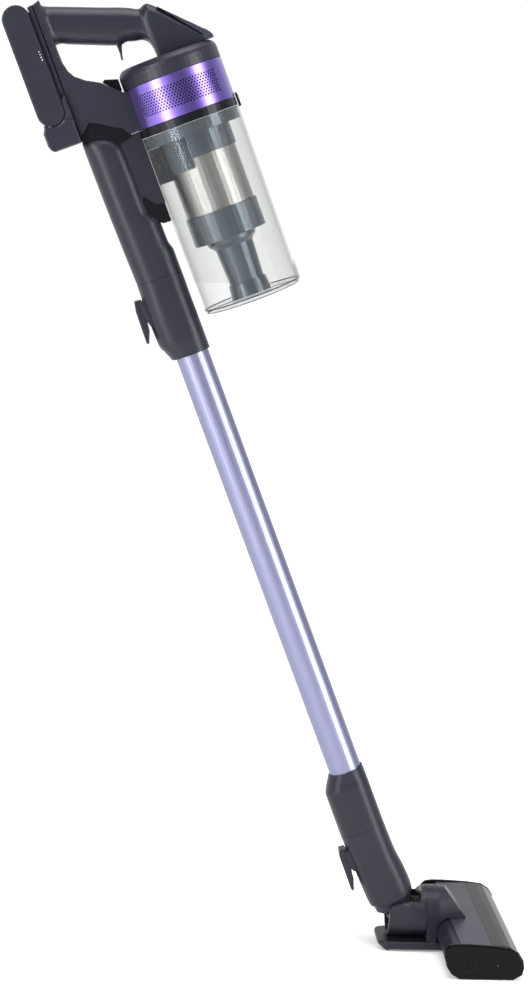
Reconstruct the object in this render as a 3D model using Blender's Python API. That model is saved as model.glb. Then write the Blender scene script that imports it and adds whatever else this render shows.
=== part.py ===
"""Cordless stick vacuum with a front-facing clear bin, a rear battery and a pivoting floor head.

World frame: metres, +Z up, -Y is forward (the way the head travels), X is across the machine.
The origin is the middle of the handle bar, where the hand holds it.  Two empties carry the model.
"stick" leans back, and its own -Z runs down the wand: a place there is (x, -forward, up), with
forward and up counted from where the wand's axis meets the floor.  "floor" stands level at that
same point and carries the floor head.
"""
import math

import bmesh
import bpy
from mathutils import Euler, Matrix, Vector

# ---- driving dimensions (metres) -----------------------------------------------------------------
LEAN = math.radians(22.1)        # the stick leans back from the vertical
GRIP = (0.020, 1.162)            # hand's place on the handle bar, (forward, up) in the stick's frame
GAP = 0.0003                     # clearance between pieces that touch

BIN_FWD = 0.0898                 # bin and motor axis, forward of the wand's axis
MOTOR_R = 0.0592                 # motor housing and exhaust band
BAND_LOW, BAND_TOP = 1.0325, 1.0807
SHOULDER_TOP = 1.1036
BIN_LOW, BIN_TOP = 0.8123, 1.0222
BIN_R_LOW, BIN_R_TOP = 0.0581, 0.0598
BIN_WALL = 0.0020
LID_THICK = 0.0042

PIPE_R, PIPE_WALL = 0.0196, 0.0018
PIPE_LOW, PIPE_TOP = 0.2000, 0.8280
SOCKET_R = 0.0199                # bore of both collars and of the neck's socket
NOSE_R, NOSE_BORE = 0.0194, 0.0165
DUCT_SEAM, NECK_SEAM = 0.8670, 0.1600

BATTERY_REAR, BATTERY_FRONT = -0.0719, -0.0400
BATTERY_LOW, BATTERY_TOP = 1.0703, 1.2130
BATTERY_HALF = 0.0310
FRAME_HALF, CORE_HALF = 0.0210, 0.0165
GRIP_HALF = 0.0175

PITCH_FWD, PITCH_UP = -0.0200, 0.0470      # neck's pitch axis, level frame
SWIVEL_UP = 0.0435                         # swivel axis height, level frame
YOKE_R, TROUGH_HALF = 0.0310, 0.0260
YOKE_REAR, SWIVEL_SEAM = -0.0300, 0.0160
HOSE_R, PIN_R = 0.0170, 0.0030

NOZZLE_HALF = 0.1250                       # half of the floor head's width
CAP_THICK = 0.0065
ROLLER_FWD, ROLLER_UP, ROLLER_R = 0.0960, 0.0192, 0.0187
CHAMBER_R = 0.0202
CHANNEL_R = 0.0115
DECK = 0.0416                              # underside of the cover's tip, just above the top plate
WHEEL_R, WHEEL_HALF, WELL_HALF = 0.0050, 0.0040, 0.0046
REAR_WHEEL, FRONT_WHEEL = (-0.0300, 0.0200), (0.0620, 0.0850)     # (forward, across)

SMOOTH_ANGLE = math.radians(40)


# ---- scene and frames ----------------------------------------------------------------------------
for old in list(bpy.data.objects):
    bpy.data.objects.remove(old, do_unlink=True)


def empty(name, location=(0, 0, 0), parent=None):
    """A frame, or the body that moving pieces hang from; its place is the joint's axis."""
    frame = bpy.data.objects.new(name, None)
    bpy.context.collection.objects.link(frame)
    frame.location = location
    frame.parent = parent
    return frame


def place(forward, up, across=0.0):
    return Vector((across, -forward, up))


tilt = Euler((-LEAN, 0, 0)).to_matrix()
FOOT = -(tilt @ place(*GRIP))              # where the wand's axis meets the floor
stick = empty("stick", FOOT)
stick.rotation_euler = (-LEAN, 0, 0)
floor = empty("floor", FOOT)


def stick_point_in_floor(forward, up):
    """A stick place as (forward, up) in the level frame."""
    point = tilt @ place(forward, up)
    return -point.y, point.z


def floor_point_in_stick(forward, up):
    """A level place as (forward, up) in the stick's frame."""
    point = tilt.inverted() @ place(forward, up)
    return -point.y, point.z


# ---- materials -----------------------------------------------------------------------------------
def material(name, colour, roughness, metallic=0.0, alpha=1.0):
    made = bpy.data.materials.new(name)
    made.use_nodes = True
    shader = made.node_tree.nodes["Principled BSDF"]
    shader.inputs["Base Color"].default_value = (*colour, 1.0)
    shader.inputs["Roughness"].default_value = roughness
    shader.inputs["Metallic"].default_value = metallic
    shader.inputs["Alpha"].default_value = alpha
    made.diffuse_color = (*colour, alpha)
    return made


SLATE = material("slate_plastic", (0.060, 0.061, 0.080), 0.5)
DARK = material("dark_plastic", (0.020, 0.021, 0.028), 0.45)
LAVENDER = material("lavender_aluminium", (0.42, 0.40, 0.66), 0.3, 1.0)
VIOLET = material("violet_band", (0.20, 0.10, 0.55), 0.28, 0.9)
CLEAR = material("clear_plastic", (0.85, 0.88, 0.88), 0.05, 0.0, 0.25)
GREY = material("cyclone_grey", (0.20, 0.22, 0.23), 0.45)
STEEL = material("mesh_steel", (0.62, 0.61, 0.59), 0.3, 1.0)
SILVER_GREY = material("plate_grey", (0.13, 0.13, 0.16), 0.45)
SMOKED = material("smoked_window", (0.05, 0.06, 0.05), 0.12, 0.0, 0.5)
RUBBER = material("black_rubber", (0.012, 0.012, 0.014), 0.8)
NAP = material("roller_nap", (0.10, 0.09, 0.12), 0.95)
FILTER = material("filter_media", (0.75, 0.75, 0.72), 0.9)


# ---- building tools ------------------------------------------------------------------------------
def finish(name, shape, body, paint):
    """Close a bmesh into a named object that hangs from its body."""
    bmesh.ops.remove_doubles(shape, verts=shape.verts, dist=1e-6)
    bmesh.ops.recalc_face_normals(shape, faces=shape.faces)
    mesh = bpy.data.meshes.new(name)
    shape.to_mesh(mesh)
    shape.free()
    if body.parent is not None:
        mesh.transform(Matrix.Translation(-body.location))
    mesh.materials.append(paint)
    mesh.shade_smooth()
    mesh.set_sharp_from_angle(angle=SMOOTH_ANGLE)
    made = bpy.data.objects.new(name, mesh)
    bpy.context.collection.objects.link(made)
    made.parent = body
    return made


def loft(name, rings, body, paint, loop=False):
    """Skin equal rings of points; loop joins the last ring to the first, as in a tube's wall."""
    shape = bmesh.new()
    rows = [[shape.verts.new(point) for point in ring] for ring in rings]
    count = len(rows[0])
    pairs = list(zip(rows, rows[1:]))
    if loop:
        pairs.append((rows[-1], rows[0]))
    for low, high in pairs:
        for i in range(count):
            j = (i + 1) % count
            shape.faces.new((low[i], low[j], high[j], high[i]))
    if not loop:
        shape.faces.new(rows[0][::-1])
        shape.faces.new(rows[-1])
    return finish(name, shape, body, paint)


def rounded(near, far, half, near_r, far_r, steps=6):
    """A rounded rectangle as (across, along) points, with a corner radius at each end."""
    points = []
    corners = ((half - far_r, far - far_r, far_r, 0), (far_r - half, far - far_r, far_r, 90),
               (near_r - half, near + near_r, near_r, 180), (half - near_r, near + near_r, near_r, 270))
    for across, along, radius, start in corners:
        for step in range(steps + 1):
            angle = math.radians(start + 90 * step / steps)
            points.append((across + radius * math.cos(angle), along + radius * math.sin(angle)))
    return points


def plan(up, back, front, half, back_r, front_r, steps=6):
    """A level slice of an upright piece: it spans back to front at one height."""
    return [place(along, up, across) for across, along in rounded(back, front, half, back_r, front_r, steps)]


def face_on(forward, low, top, half, low_r, top_r, steps=6):
    """A slice seen from the front: it spans low to top at one forward place."""
    return [place(forward, along, across) for across, along in rounded(low, top, half, low_r, top_r, steps)]


def round_plan(up, radius, centre=0.0, steps=6):
    return plan(up, centre - radius, centre + radius, radius, radius, radius, steps)


def prism(name, outline, half, body, paint, edge=0.0, centre=0.0, steps=2):
    """A side outline of (forward, up) points, extruded across the machine, with rounded edges."""
    shape = bmesh.new()
    base = shape.faces.new([shape.verts.new(place(f, u, centre - half)) for f, u in outline])
    grown = bmesh.ops.extrude_face_region(shape, geom=[base])
    moved = [item for item in grown["geom"] if isinstance(item, bmesh.types.BMVert)]
    bmesh.ops.translate(shape, verts=moved, vec=(2 * half, 0, 0))
    if edge:
        rims = [e for e in shape.edges if abs(e.verts[0].co.x - e.verts[1].co.x) < 1e-9]
        bmesh.ops.bevel(shape, geom=rims, offset=edge, segments=steps, profile=0.5, affect="EDGES",
                        clamp_overlap=True)
    return finish(name, shape, body, paint)


def turned(name, profile, body, paint, centre=0.0, segments=48, axis="up", at=0.0):
    """Turn a closed (radius, along) profile about an upright axis, or one across or forward.

    centre is the axis' forward place; at is its height when the axis isn't upright.
    """
    shape = bmesh.new()
    turns = [2 * math.pi * i / segments for i in range(segments)]

    def point(radius, along, angle):
        c, s = radius * math.cos(angle), radius * math.sin(angle)
        if axis == "up":
            return place(centre + s, along, c)
        if axis == "across":
            return place(centre + c, at + s, along)
        return place(along, at + s, c)

    rows = []
    for radius, along in profile:
        if radius < 1e-9:
            rows.append([shape.verts.new(point(0, along, 0))] * segments)
        else:
            rows.append([shape.verts.new(point(radius, along, angle)) for angle in turns])
    for low, high in zip(rows, rows[1:] + rows[:1]):
        for i in range(segments):
            j = (i + 1) % segments
            ring = list(dict.fromkeys((low[i], low[j], high[j], high[i])))
            if len(ring) > 2:
                shape.faces.new(ring)
    return finish(name, shape, body, paint)


def cylinder(name, radius, start, end, body, paint, **where):
    return turned(name, [(0, start), (radius, start), (radius, end), (0, end)], body, paint, **where)


def hide_cutter(cutter):
    cutter.hide_render = True
    cutter.display_type = "WIRE"
    return cutter


def combine(target, tool, operation="DIFFERENCE"):
    """Cut one piece with another, or join them."""
    modifier = target.modifiers.new(tool.name, "BOOLEAN")
    modifier.operation = operation
    modifier.solver = "EXACT"
    modifier.object = hide_cutter(tool)


def arc(centre, radius, start, end, steps):
    """Points of an arc in a side outline, angles in degrees from forward, turning up."""
    angles = (math.radians(start + (end - start) * i / steps) for i in range(steps + 1))
    return [(centre[0] + radius * math.cos(a), centre[1] + radius * math.sin(a)) for a in angles]


# ---- battery: slides up off the back of the handle -----------------------------------------------
battery = empty("battery", place(BATTERY_FRONT, BATTERY_LOW), stick)
BATTERY_MID = (BATTERY_REAR + BATTERY_FRONT) / 2
BATTERY_R = (BATTERY_FRONT - BATTERY_REAR) / 2


def battery_outline(inset=0.0):
    radius = BATTERY_R - inset
    return (arc((BATTERY_MID, BATTERY_TOP - BATTERY_R), radius, 0, 180, 10)
            + arc((BATTERY_MID, BATTERY_LOW + BATTERY_R), radius, 180, 360, 10))


def make_battery():
    plate = 0.0016
    prism("battery_pack", battery_outline(), BATTERY_HALF - plate - GAP, battery, SLATE)
    for side, name in ((-1, "battery_plate_near"), (1, "battery_plate_far")):
        prism(name, battery_outline(0.0012), plate / 2, battery, SLATE, 0.0006,
              side * (BATTERY_HALF - plate / 2))
    rail_rear, rail_front = BATTERY_FRONT + GAP, -0.0345
    prism("battery_rail", [(rail_rear, 1.0880), (rail_front, 1.0708), (rail_front, 1.2067),
                           (rail_rear, 1.2053)], 0.0240, battery, SLATE, 0.0008)
    hug = BATTERY_R + GAP
    low_centre = (BATTERY_MID, BATTERY_LOW + BATTERY_R)
    foot = [(-0.0345, 1.0431), (-0.0345, 1.0705)]
    foot += arc(low_centre, hug, -44, -138, 8)
    foot += [(-0.0700, 1.0702), (-0.0722, 1.0660), (-0.0722, 1.0510), (-0.0700, 1.0455), (-0.0670, 1.0431)]
    prism("battery_foot", foot, BATTERY_HALF, battery, SLATE, 0.0020)


make_battery()


# ---- hand unit: frame, handle, motor housing, duct -----------------------------------------------
hand = stick


def motor_clearance(name, low, top, extra=GAP):
    """A plug a little wider than the motor housing, to fit neighbours around it."""
    return cylinder(name, MOTOR_R + extra, low, top, hand, DARK, centre=BIN_FWD, segments=64)


def make_frame():
    """The rear frame: a core with thicker side skins, which end in an arch over the duct's top."""
    outline = [(-0.0342, 1.2060), (-0.0342, 1.0446), (-0.0240, 1.0440), (-0.0150, 1.0418), (-0.0030, 1.0368),
               (0.0040, 1.0327), (0.0360, 1.0327), (0.0360, 1.0785), (0.0300, 1.0800), (0.0090, 1.0990),
               (-0.0060, 1.1070), (-0.0165, 1.1155), (-0.0215, 1.1240), (-0.0242, 1.1350), (-0.0246, 1.1500),
               (-0.0246, 1.2092)]
    frame = prism("handle_frame", outline, FRAME_HALF, hand, SLATE, 0.0016)
    combine(frame, motor_clearance("frame_round_cut", 1.000, 1.120))
    arch = [(-0.0400, 1.0200), (-0.0400, 1.0490), (-0.0316, 1.0505), (-0.0258, 1.0558), (-0.0194, 1.0610),
            (-0.0101, 1.0570), (0.0021, 1.0490), (0.0145, 1.0420), (0.0184, 1.0360), (0.0225, 1.0326),
            (0.0225, 1.0200)]
    depth = 0.0100
    for side, name in ((-1, "frame_arch_near_cut"), (1, "frame_arch_far_cut")):
        combine(frame, prism(name, arch, depth / 2, hand, DARK, centre=side * (CORE_HALF + depth / 2)))
    seat = [(0.0100, 1.0955), (0.0100, 1.1100), (0.0400, 1.1100), (0.0400, 1.0740), (0.0270, 1.0780)]
    combine(frame, prism("frame_button_cut", seat, 0.0088, hand, DARK))


def bar_section(forward, half=GRIP_HALF, corner=0.0165):
    """One slice of the handle bar, which slopes down towards the front."""
    top = 1.2018 - 0.3790 * (forward + 0.0218)
    low = 1.1570 - 0.3950 * (forward + 0.0220)
    return face_on(forward, low, top, half, corner, corner)


def make_grip():
    slices = [-0.0243, -0.0200, 0.0000, 0.0380, 0.0620, 0.0700]
    rings = [bar_section(f) for f in slices]
    rings[0] = face_on(slices[0], 1.1560, 1.2040, GRIP_HALF + 0.002, 0.0160, 0.0160)
    grip = loft("handle_grip", rings, hand, SLATE)
    combine(grip, prism("trigger_slot_cut", [(0.0360, 1.1000), (0.0550, 1.1000), (0.0550, 1.1500),
                                             (0.0360, 1.1500)], 0.0056, hand, DARK))
    combine(grip, cylinder("trigger_pin_cut", 0.0018, -0.0143, 0.0143, hand, DARK,
                           centre=0.0455, at=1.1430, axis="across", segments=16))


def make_handle_head():
    low = SHOULDER_TOP + 0.0004
    slices = ((0.0703, 1.1292, 1.1660, 0.0175, 0.0150, 0.0160),
              (0.0765, 1.1250, 1.1634, 0.0180, 0.0120, 0.0160),
              (0.0805, 1.1190, 1.1627, 0.0188, 0.0080, 0.0160),
              (0.0812, low, 1.1628, 0.0190, 0.0010, 0.0160),
              (0.0860, low, 1.1645, 0.0200, 0.0010, 0.0150),
              (0.0890, low, 1.1650, 0.0200, 0.0010, 0.0140),
              (0.0927, low, 1.1630, 0.0200, 0.0010, 0.0140),
              (0.0988, low, 1.1575, 0.0200, 0.0010, 0.0130),
              (0.1028, low, 1.1526, 0.0200, 0.0010, 0.0120),
              (0.1382, low, 1.1098, 0.0185, 0.0005, 0.0030))
    loft("handle_head", [face_on(*cut) for cut in slices], hand, SLATE)


PANEL_START = Vector((0.0992, 1.1574))      # (forward, up) of the control panel's top end
PANEL_END = Vector((0.1412, 1.1160))
PANEL_DOWN = (PANEL_END - PANEL_START).normalized()
PANEL_OUT = Vector((-PANEL_DOWN.y, PANEL_DOWN.x))
BUTTON_TRAVEL = 0.0008
BUTTONS = {"power_button": (0.0440, 0.0062), "mode_button": (0.0260, 0.0048)}


def panel_axis(down):
    """A place on the panel's face, and the turn that points +Z straight out of it."""
    spot = PANEL_START + PANEL_DOWN * down
    return place(spot.x, spot.y), math.atan2(PANEL_OUT.x, PANEL_OUT.y)


def make_button(name, down, radius):
    """A round button in a shallow well; both turned about the panel's normal."""
    spot, lean = panel_axis(down)
    pieces = []
    sizes = (("_well_cut", radius + 0.0004, -0.0021, 0.0040), ("", radius, -0.0010, 0.0009))
    for suffix, size, low, top in sizes:
        shape = bmesh.new()
        bmesh.ops.create_cone(shape, cap_ends=True, segments=28, radius1=size, radius2=size, depth=top - low)
        bmesh.ops.translate(shape, verts=shape.verts, vec=(0, 0, (top + low) / 2))
        mesh = bpy.data.meshes.new(name + suffix)
        shape.to_mesh(mesh)
        shape.free()
        mesh.materials.append(DARK)
        made = bpy.data.objects.new(name + suffix, mesh)
        bpy.context.collection.objects.link(made)
        made.parent = stick
        made.location = spot
        made.rotation_euler = (lean, 0, 0)
        pieces.append(made)
    return pieces[0]


def make_panel():
    outline = [(0.0992, 1.1574), (0.1412, 1.1160), (0.1487, 1.1060), (0.1488, 1.1040), (0.1386, 1.1040),
               (0.1386, 1.1104), (0.1033, 1.1530)]
    panel = prism("control_panel", outline, 0.0190, hand, SILVER_GREY, 0.0010)
    for name, (down, radius) in BUTTONS.items():
        combine(panel, make_button(name, down, radius))


TRIGGER_FWD, TRIGGER_UP = 0.0455, 1.1430


def make_trigger():
    trigger = empty("trigger_body", place(TRIGGER_FWD, TRIGGER_UP), stick)
    outline = arc((TRIGGER_FWD, TRIGGER_UP), 0.0046, 0, 180, 8)
    outline += [(0.0408, 1.1360), (0.0412, 1.1300), (0.0414, 1.1220), (0.0404, 1.1160), (0.0410, 1.1146),
                (0.0424, 1.1146), (0.0440, 1.1220), (0.0462, 1.1290), (0.0492, 1.1350)]
    fin = prism("trigger", outline, 0.0050, trigger, SLATE, 0.0006)
    bore = cylinder("trigger_bore_cut", 0.0018, -0.0100, 0.0100, trigger, DARK,
                    centre=TRIGGER_FWD, at=TRIGGER_UP, axis="across", segments=16)
    combine(fin, bore)
    cylinder("trigger_pin", 0.0015, -0.0140, 0.0140, hand, STEEL,
             centre=TRIGGER_FWD, at=TRIGGER_UP, axis="across", segments=16)


def make_release_button():
    release = empty("release_body", place(0.0280, 1.0900), stick)
    outline = [(0.0112, 1.0982), (0.0138, 1.1010), (0.0294, 1.0962), (0.0294, 1.0830), (0.0272, 1.0822)]
    prism("release_button", outline, 0.0080, release, DARK, 0.0006)


def make_motor_housing():
    edge, wall = 0.0100, 0.0030
    crown = arc((MOTOR_R - edge, SHOULDER_TOP - edge), edge, 0, 90, 4)
    inner = arc((MOTOR_R - edge, SHOULDER_TOP - edge), edge - wall, 90, 0, 2)
    low = BAND_TOP + GAP
    profile = [(MOTOR_R, low), *crown, (0, SHOULDER_TOP), (0, SHOULDER_TOP - wall), *inner,
               (MOTOR_R - wall, low)]
    turned("motor_shoulder", profile, hand, SLATE, centre=BIN_FWD, segments=64)
    band_inner = MOTOR_R - 0.0020
    turned("exhaust_band", [(MOTOR_R, BAND_LOW), (MOTOR_R, BAND_TOP), (band_inner, BAND_TOP),
                            (band_inner, BAND_LOW)], hand, VIOLET, centre=BIN_FWD, segments=64)
    turned("filter_ring", [(0.0560, 1.0340), (0.0560, 1.0780), (0.0440, 1.0780), (0.0440, 1.0340)],
           hand, FILTER, centre=BIN_FWD, segments=40)
    low, top = 1.0226, BAND_LOW - GAP
    turned("motor_base_ring", [(MOTOR_R, low), (MOTOR_R, top), (0, top), (0, low)],
           hand, DARK, centre=BIN_FWD, segments=64)
    cylinder("motor_can", 0.0320, 1.0480, 1.0920, hand, STEEL, centre=BIN_FWD, segments=32)
    impeller = empty("impeller_body", place(BIN_FWD, 1.0400), stick)
    turned("impeller", [(0, 1.0345), (0.0300, 1.0345), (0.0300, 1.0370), (0.0100, 1.0465), (0, 1.0465)],
           impeller, DARK, centre=BIN_FWD, segments=24)


def make_duct():
    """The suction duct: an oval tube, closed at the top, with a round nose that the wand plugs onto."""
    nose_low = 0.8330
    outer = [round_plan(nose_low, NOSE_R), round_plan(DUCT_SEAM, NOSE_R),
             plan(DUCT_SEAM, -0.0326, 0.0220, 0.0240, 0.0220, 0.0200),
             plan(0.8920, -0.0332, 0.0220, 0.0240, 0.0220, 0.0190),
             plan(0.9030, -0.0336, 0.0186, 0.0240, 0.0220, 0.0180),
             plan(0.9300, -0.0342, 0.0184, 0.0240, 0.0220, 0.0180),
             plan(0.9460, -0.0346, 0.0104, 0.0238, 0.0215, 0.0180),
             plan(1.0000, -0.0353, 0.0103, 0.0236, 0.0215, 0.0180),
             plan(1.0190, -0.0355, 0.0098, 0.0236, 0.0215, 0.0180),
             plan(1.0310, -0.0355, 0.0030, 0.0225, 0.0190, 0.0160),
             plan(1.0360, -0.0354, -0.0032, 0.0205, 0.0150, 0.0140),
             plan(1.0408, -0.0350, -0.0150, 0.0160, 0.0095, 0.0095),
             plan(1.0431, -0.0340, -0.0240, 0.0100, 0.0045, 0.0045)]
    inner = [round_plan(1.0200, 0.0100, -0.0080), round_plan(1.0000, NOSE_BORE, -0.0080),
             round_plan(nose_low, NOSE_BORE)]
    make_cup("suction_duct", outer, inner, hand, SLATE)
    prism("bin_rail", [(0.0108, 0.9660), (0.0150, 0.9560), (0.0200, 0.9490), (0.0297, 0.9462),
                       (0.0297, 1.0322), (0.0108, 1.0322)], 0.0150, hand, SLATE, 0.0012)
    hook = [(0.0190, 0.9280), (0.0215, 0.9250), (0.0288, 0.9244), (0.0288, 0.9458), (0.0198, 0.9486),
            (0.0150, 0.9540), (0.0120, 0.9540), (0.0112, 0.9480), (0.0188, 0.9330)]
    prism("bin_hook", hook, 0.0090, hand, DARK, 0.0006)


def make_cup(name, outer, inner, body, paint):
    """A tube closed at one end: outer rings run to the closed end, inner rings run back."""
    shape = bmesh.new()
    rows = [[shape.verts.new(point) for point in ring] for ring in outer + inner]
    closed = len(outer) - 1
    for index, (low, high) in enumerate(zip(rows, rows[1:] + rows[:1])):
        if index == closed:
            shape.faces.new(low)
            shape.faces.new(high[::-1])
            continue
        for i in range(len(low)):
            j = (i + 1) % len(low)
            shape.faces.new((low[i], low[j], high[j], high[i]))
    return finish(name, shape, body, paint)


def make_bin_latch():
    latch = empty("bin_latch_body", place(0.1506, 1.0360), stick)
    outline = [(0.1500, 1.0368), (0.1512, 1.0368), (0.1524, 1.0340), (0.1526, 1.0212), (0.1516, 1.0200),
               (0.1500, 1.0200)]
    prism("bin_latch", outline, 0.0080, latch, DARK, 0.0004)


make_frame()
make_grip()
make_handle_head()
make_panel()
make_trigger()
make_release_button()
make_motor_housing()
make_duct()
make_bin_latch()


# ---- bin: a clear cylinder with the cyclone inside, which drops away from the motor housing -------
bin_body = empty("bin_body", place(BIN_FWD, BIN_TOP), stick)


def make_bin():
    low, top = BIN_LOW, BIN_TOP
    wall = [(BIN_R_LOW, low), (BIN_R_TOP, top), (BIN_R_TOP - BIN_WALL, top), (BIN_R_LOW - BIN_WALL, low)]
    turned("clear_bin", wall, bin_body, CLEAR, centre=BIN_FWD, segments=64)
    shroud_r, core_r = 0.0430, 0.0330
    turned("bin_collar", [(0.0574, 1.0085), (0.0575, top), (shroud_r + GAP, top), (shroud_r + GAP, 1.0085)],
           bin_body, GREY, centre=BIN_FWD, segments=64)
    shroud = [(0, 0.9833), (shroud_r, 0.9833), (shroud_r, top), (0, top)]
    turned("cyclone_shroud", shroud, bin_body, GREY, centre=BIN_FWD, segments=48)
    mesh_r = 0.0410
    turned("mesh_screen", [(mesh_r, 0.9183), (mesh_r, 0.9830), (mesh_r - 0.0015, 0.9830),
                           (mesh_r - 0.0015, 0.9183)], bin_body, STEEL, centre=BIN_FWD, segments=48)
    turned("cyclone_core", [(0, 0.9183), (core_r - 0.005, 0.9183), (core_r, 0.9830), (0, 0.9830)],
           bin_body, GREY, centre=BIN_FWD, segments=32)
    turned("cyclone_skirt", [(0, 0.8843), (0.0434, 0.8843), (0.0432, 0.9180), (0, 0.9180)],
           bin_body, GREY, centre=BIN_FWD, segments=48)
    tube = [(0, 0.8292), (0.0205, 0.8292), (0.0227, 0.8730), (0.0235, 0.8732), (0.0290, 0.8790),
            (0.0298, 0.8840), (0, 0.8840)]
    turned("dust_tube", tube, bin_body, GREY, centre=BIN_FWD, segments=40)
    turned("dust_foot", [(0, 0.8126), (0.0240, 0.8126), (0.0224, 0.8289), (0, 0.8289)],
           bin_body, GREY, centre=BIN_FWD, segments=40)
    inlet = prism("cyclone_inlet", [(0.0300, 0.9665), (0.0600, 0.9665), (0.0600, 1.0080), (0.0300, 1.0080)],
                  0.0200, bin_body, DARK)
    ring = [(0.0572, 0.9000), (0.0572, 1.0300), (0.1000, 1.0300), (0.1000, 0.9000)]
    outside = turned("inlet_outer_cut", ring, bin_body, DARK, centre=BIN_FWD, segments=64)
    combine(inlet, outside)
    combine(inlet, cylinder("inlet_inner_cut", shroud_r + GAP, 0.900, 1.100, bin_body, DARK,
                            centre=BIN_FWD, segments=48))


def make_bin_lid():
    hinge = empty("bin_lid_body", place(0.0330, 0.8068), stick)
    low = BIN_LOW - GAP - LID_THICK
    top = low + LID_THICK
    edge = BIN_R_LOW
    lid = [(0, low), (edge - 0.0030, low), (edge - 0.0008, low + 0.0012), (edge, low + 0.0030), (edge, top),
           (0, top)]
    turned("bin_lid", lid, hinge, CLEAR, centre=BIN_FWD, segments=64)


def make_lid_latch():
    """A curved tab on the bin's front wall that catches the lid."""
    latch = empty("lid_latch_body", place(0.1486, 0.8300), stick)
    near, far, spread = BIN_R_LOW + 0.0005, BIN_R_LOW + 0.0019, 20
    rings = []
    for step in range(9):
        angle = math.radians(90 - spread + 2 * spread * step / 8)
        c, s = math.cos(angle), math.sin(angle)
        height = 0.8330 - 0.0090 * abs(step - 4) / 4
        rings.append([place(BIN_FWD + r * s, u, r * c) for r, u in
                      ((near, 0.8125), (far, 0.8125), (far + 0.0002, height), (near + 0.0002, height))])
    loft("lid_latch", rings, latch, CLEAR)


make_bin()
make_bin_lid()
make_lid_latch()


# ---- wand: collar, tube, collar; slides off the duct's nose --------------------------------------
wand = empty("wand_body", place(0, DUCT_SEAM), stick)


def make_wand():
    top = DUCT_SEAM - GAP
    collar = [plan(top, -0.0326, 0.0221, 0.0240, 0.0220, 0.0200),
              plan(0.8140, -0.0339, 0.0222, 0.0242, 0.0222, 0.0200),
              plan(0.7930, -0.0333, 0.0223, 0.0240, 0.0220, 0.0200),
              plan(0.7800, -0.0281, 0.0223, 0.0232, 0.0215, 0.0205),
              plan(0.7710, -0.0246, 0.0223, 0.0226, 0.0215, 0.0210)]
    loft("upper_collar", collar + [round_plan(0.7710, SOCKET_R), round_plan(top, SOCKET_R)],
         wand, SLATE, loop=True)
    turned("wand_tube", [(PIPE_R, PIPE_LOW), (PIPE_R, PIPE_TOP), (PIPE_R - PIPE_WALL, PIPE_TOP),
                         (PIPE_R - PIPE_WALL, PIPE_LOW)], wand, LAVENDER, segments=40)
    step = PIPE_LOW - 2 * GAP
    lower = [plan(0.2350, -0.0216, 0.0213, 0.0214, 0.0207, 0.0207),
             plan(0.2230, -0.0288, 0.0216, 0.0222, 0.0212, 0.0205),
             plan(0.2130, -0.0328, 0.0217, 0.0232, 0.0216, 0.0200),
             plan(NECK_SEAM, -0.0331, 0.0217, 0.0240, 0.0220, 0.0200),
             round_plan(NECK_SEAM, NOSE_R), round_plan(0.1280, NOSE_R),
             round_plan(0.1280, NOSE_BORE), round_plan(step, NOSE_BORE),
             round_plan(step, SOCKET_R), round_plan(0.2350, SOCKET_R)]
    loft("lower_collar", lower, wand, SLATE, loop=True)


def make_lever(name, pivot, outline, face_half):
    """A sprung release lever: its tail is pressed in to let the plug go."""
    body = empty(name + "_body", place(*pivot), stick)
    prism(name, outline, face_half, body, SLATE, 0.0012)


make_wand()
make_lever("upper_lever", (-0.0376, 0.8380),
           [(-0.0346, 0.8500), (-0.0425, 0.8508), (-0.0447, 0.8390), (-0.0456, 0.8010), (-0.0440, 0.7985),
            (-0.0424, 0.7995), (-0.0374, 0.8120), (-0.0362, 0.8230), (-0.0346, 0.8290)], 0.0105)
make_lever("lower_lever", (-0.0365, 0.1300),
           [(-0.0336, 0.1435), (-0.0410, 0.1442), (-0.0432, 0.1370), (-0.0437, 0.0940), (-0.0422, 0.0905),
            (-0.0404, 0.0920), (-0.0360, 0.1060), (-0.0352, 0.1150), (-0.0338, 0.1200)], 0.0105)


# ---- neck: socket for the wand, with lugs that pitch in the yoke ---------------------------------
pitch_in_stick = floor_point_in_stick(PITCH_FWD, PITCH_UP)
neck_body = empty("neck_body", place(0, NECK_SEAM), stick)


def make_neck():
    top = NECK_SEAM - GAP
    outer = [plan(top, -0.0331, 0.0217, 0.0240, 0.0220, 0.0200),
             plan(0.1230, -0.0318, 0.0227, 0.0243, 0.0220, 0.0205),
             plan(0.0920, -0.0306, 0.0264, 0.0248, 0.0210, 0.0225),
             plan(0.0750, -0.0296, 0.0272, 0.0250, 0.0200, 0.0230),
             plan(0.0660, -0.0285, 0.0258, 0.0250, 0.0200, 0.0230),
             plan(0.0640, -0.0258, 0.0240, 0.0248, 0.0200, 0.0225),
             plan(0.0550, -0.0240, 0.0190, 0.0240, 0.0200, 0.0180)]
    inner = [plan(0.0550, -0.0213, 0.0165, 0.0205, 0.0180, 0.0160),
             plan(0.0900, -0.0235, 0.0200, 0.0210, 0.0190, 0.0180),
             plan(0.1240, -0.0205, 0.0205, 0.0205, 0.0200, 0.0200), round_plan(0.1260, SOCKET_R),
             round_plan(top, SOCKET_R)]
    neck = loft("neck", outer + inner, neck_body, SLATE, loop=True)
    notch = [(0.0040, 0.0400), (0.0300, 0.0400), (0.0300, 0.0605), (0.0040, 0.0605)]
    combine(neck, prism("neck_front_cut", notch, 0.0125, neck_body, DARK))
    forward, up = pitch_in_stick
    lug = arc((forward, up), 0.0080, 180, 360, 10) + [(forward + 0.0080, 0.0700), (forward - 0.0080, 0.0700)]
    for side, name in ((-1, "lug_near_join"), (1, "lug_far_join")):
        combine(neck, prism(name, lug, 0.0021, neck_body, SLATE, centre=side * 0.0229), "UNION")
    pin_bore = cylinder("neck_pin_cut", PIN_R + GAP, -0.0300, 0.0300, neck_body, DARK,
                        centre=forward, at=up, axis="across", segments=24)
    combine(neck, pin_bore)


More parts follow.
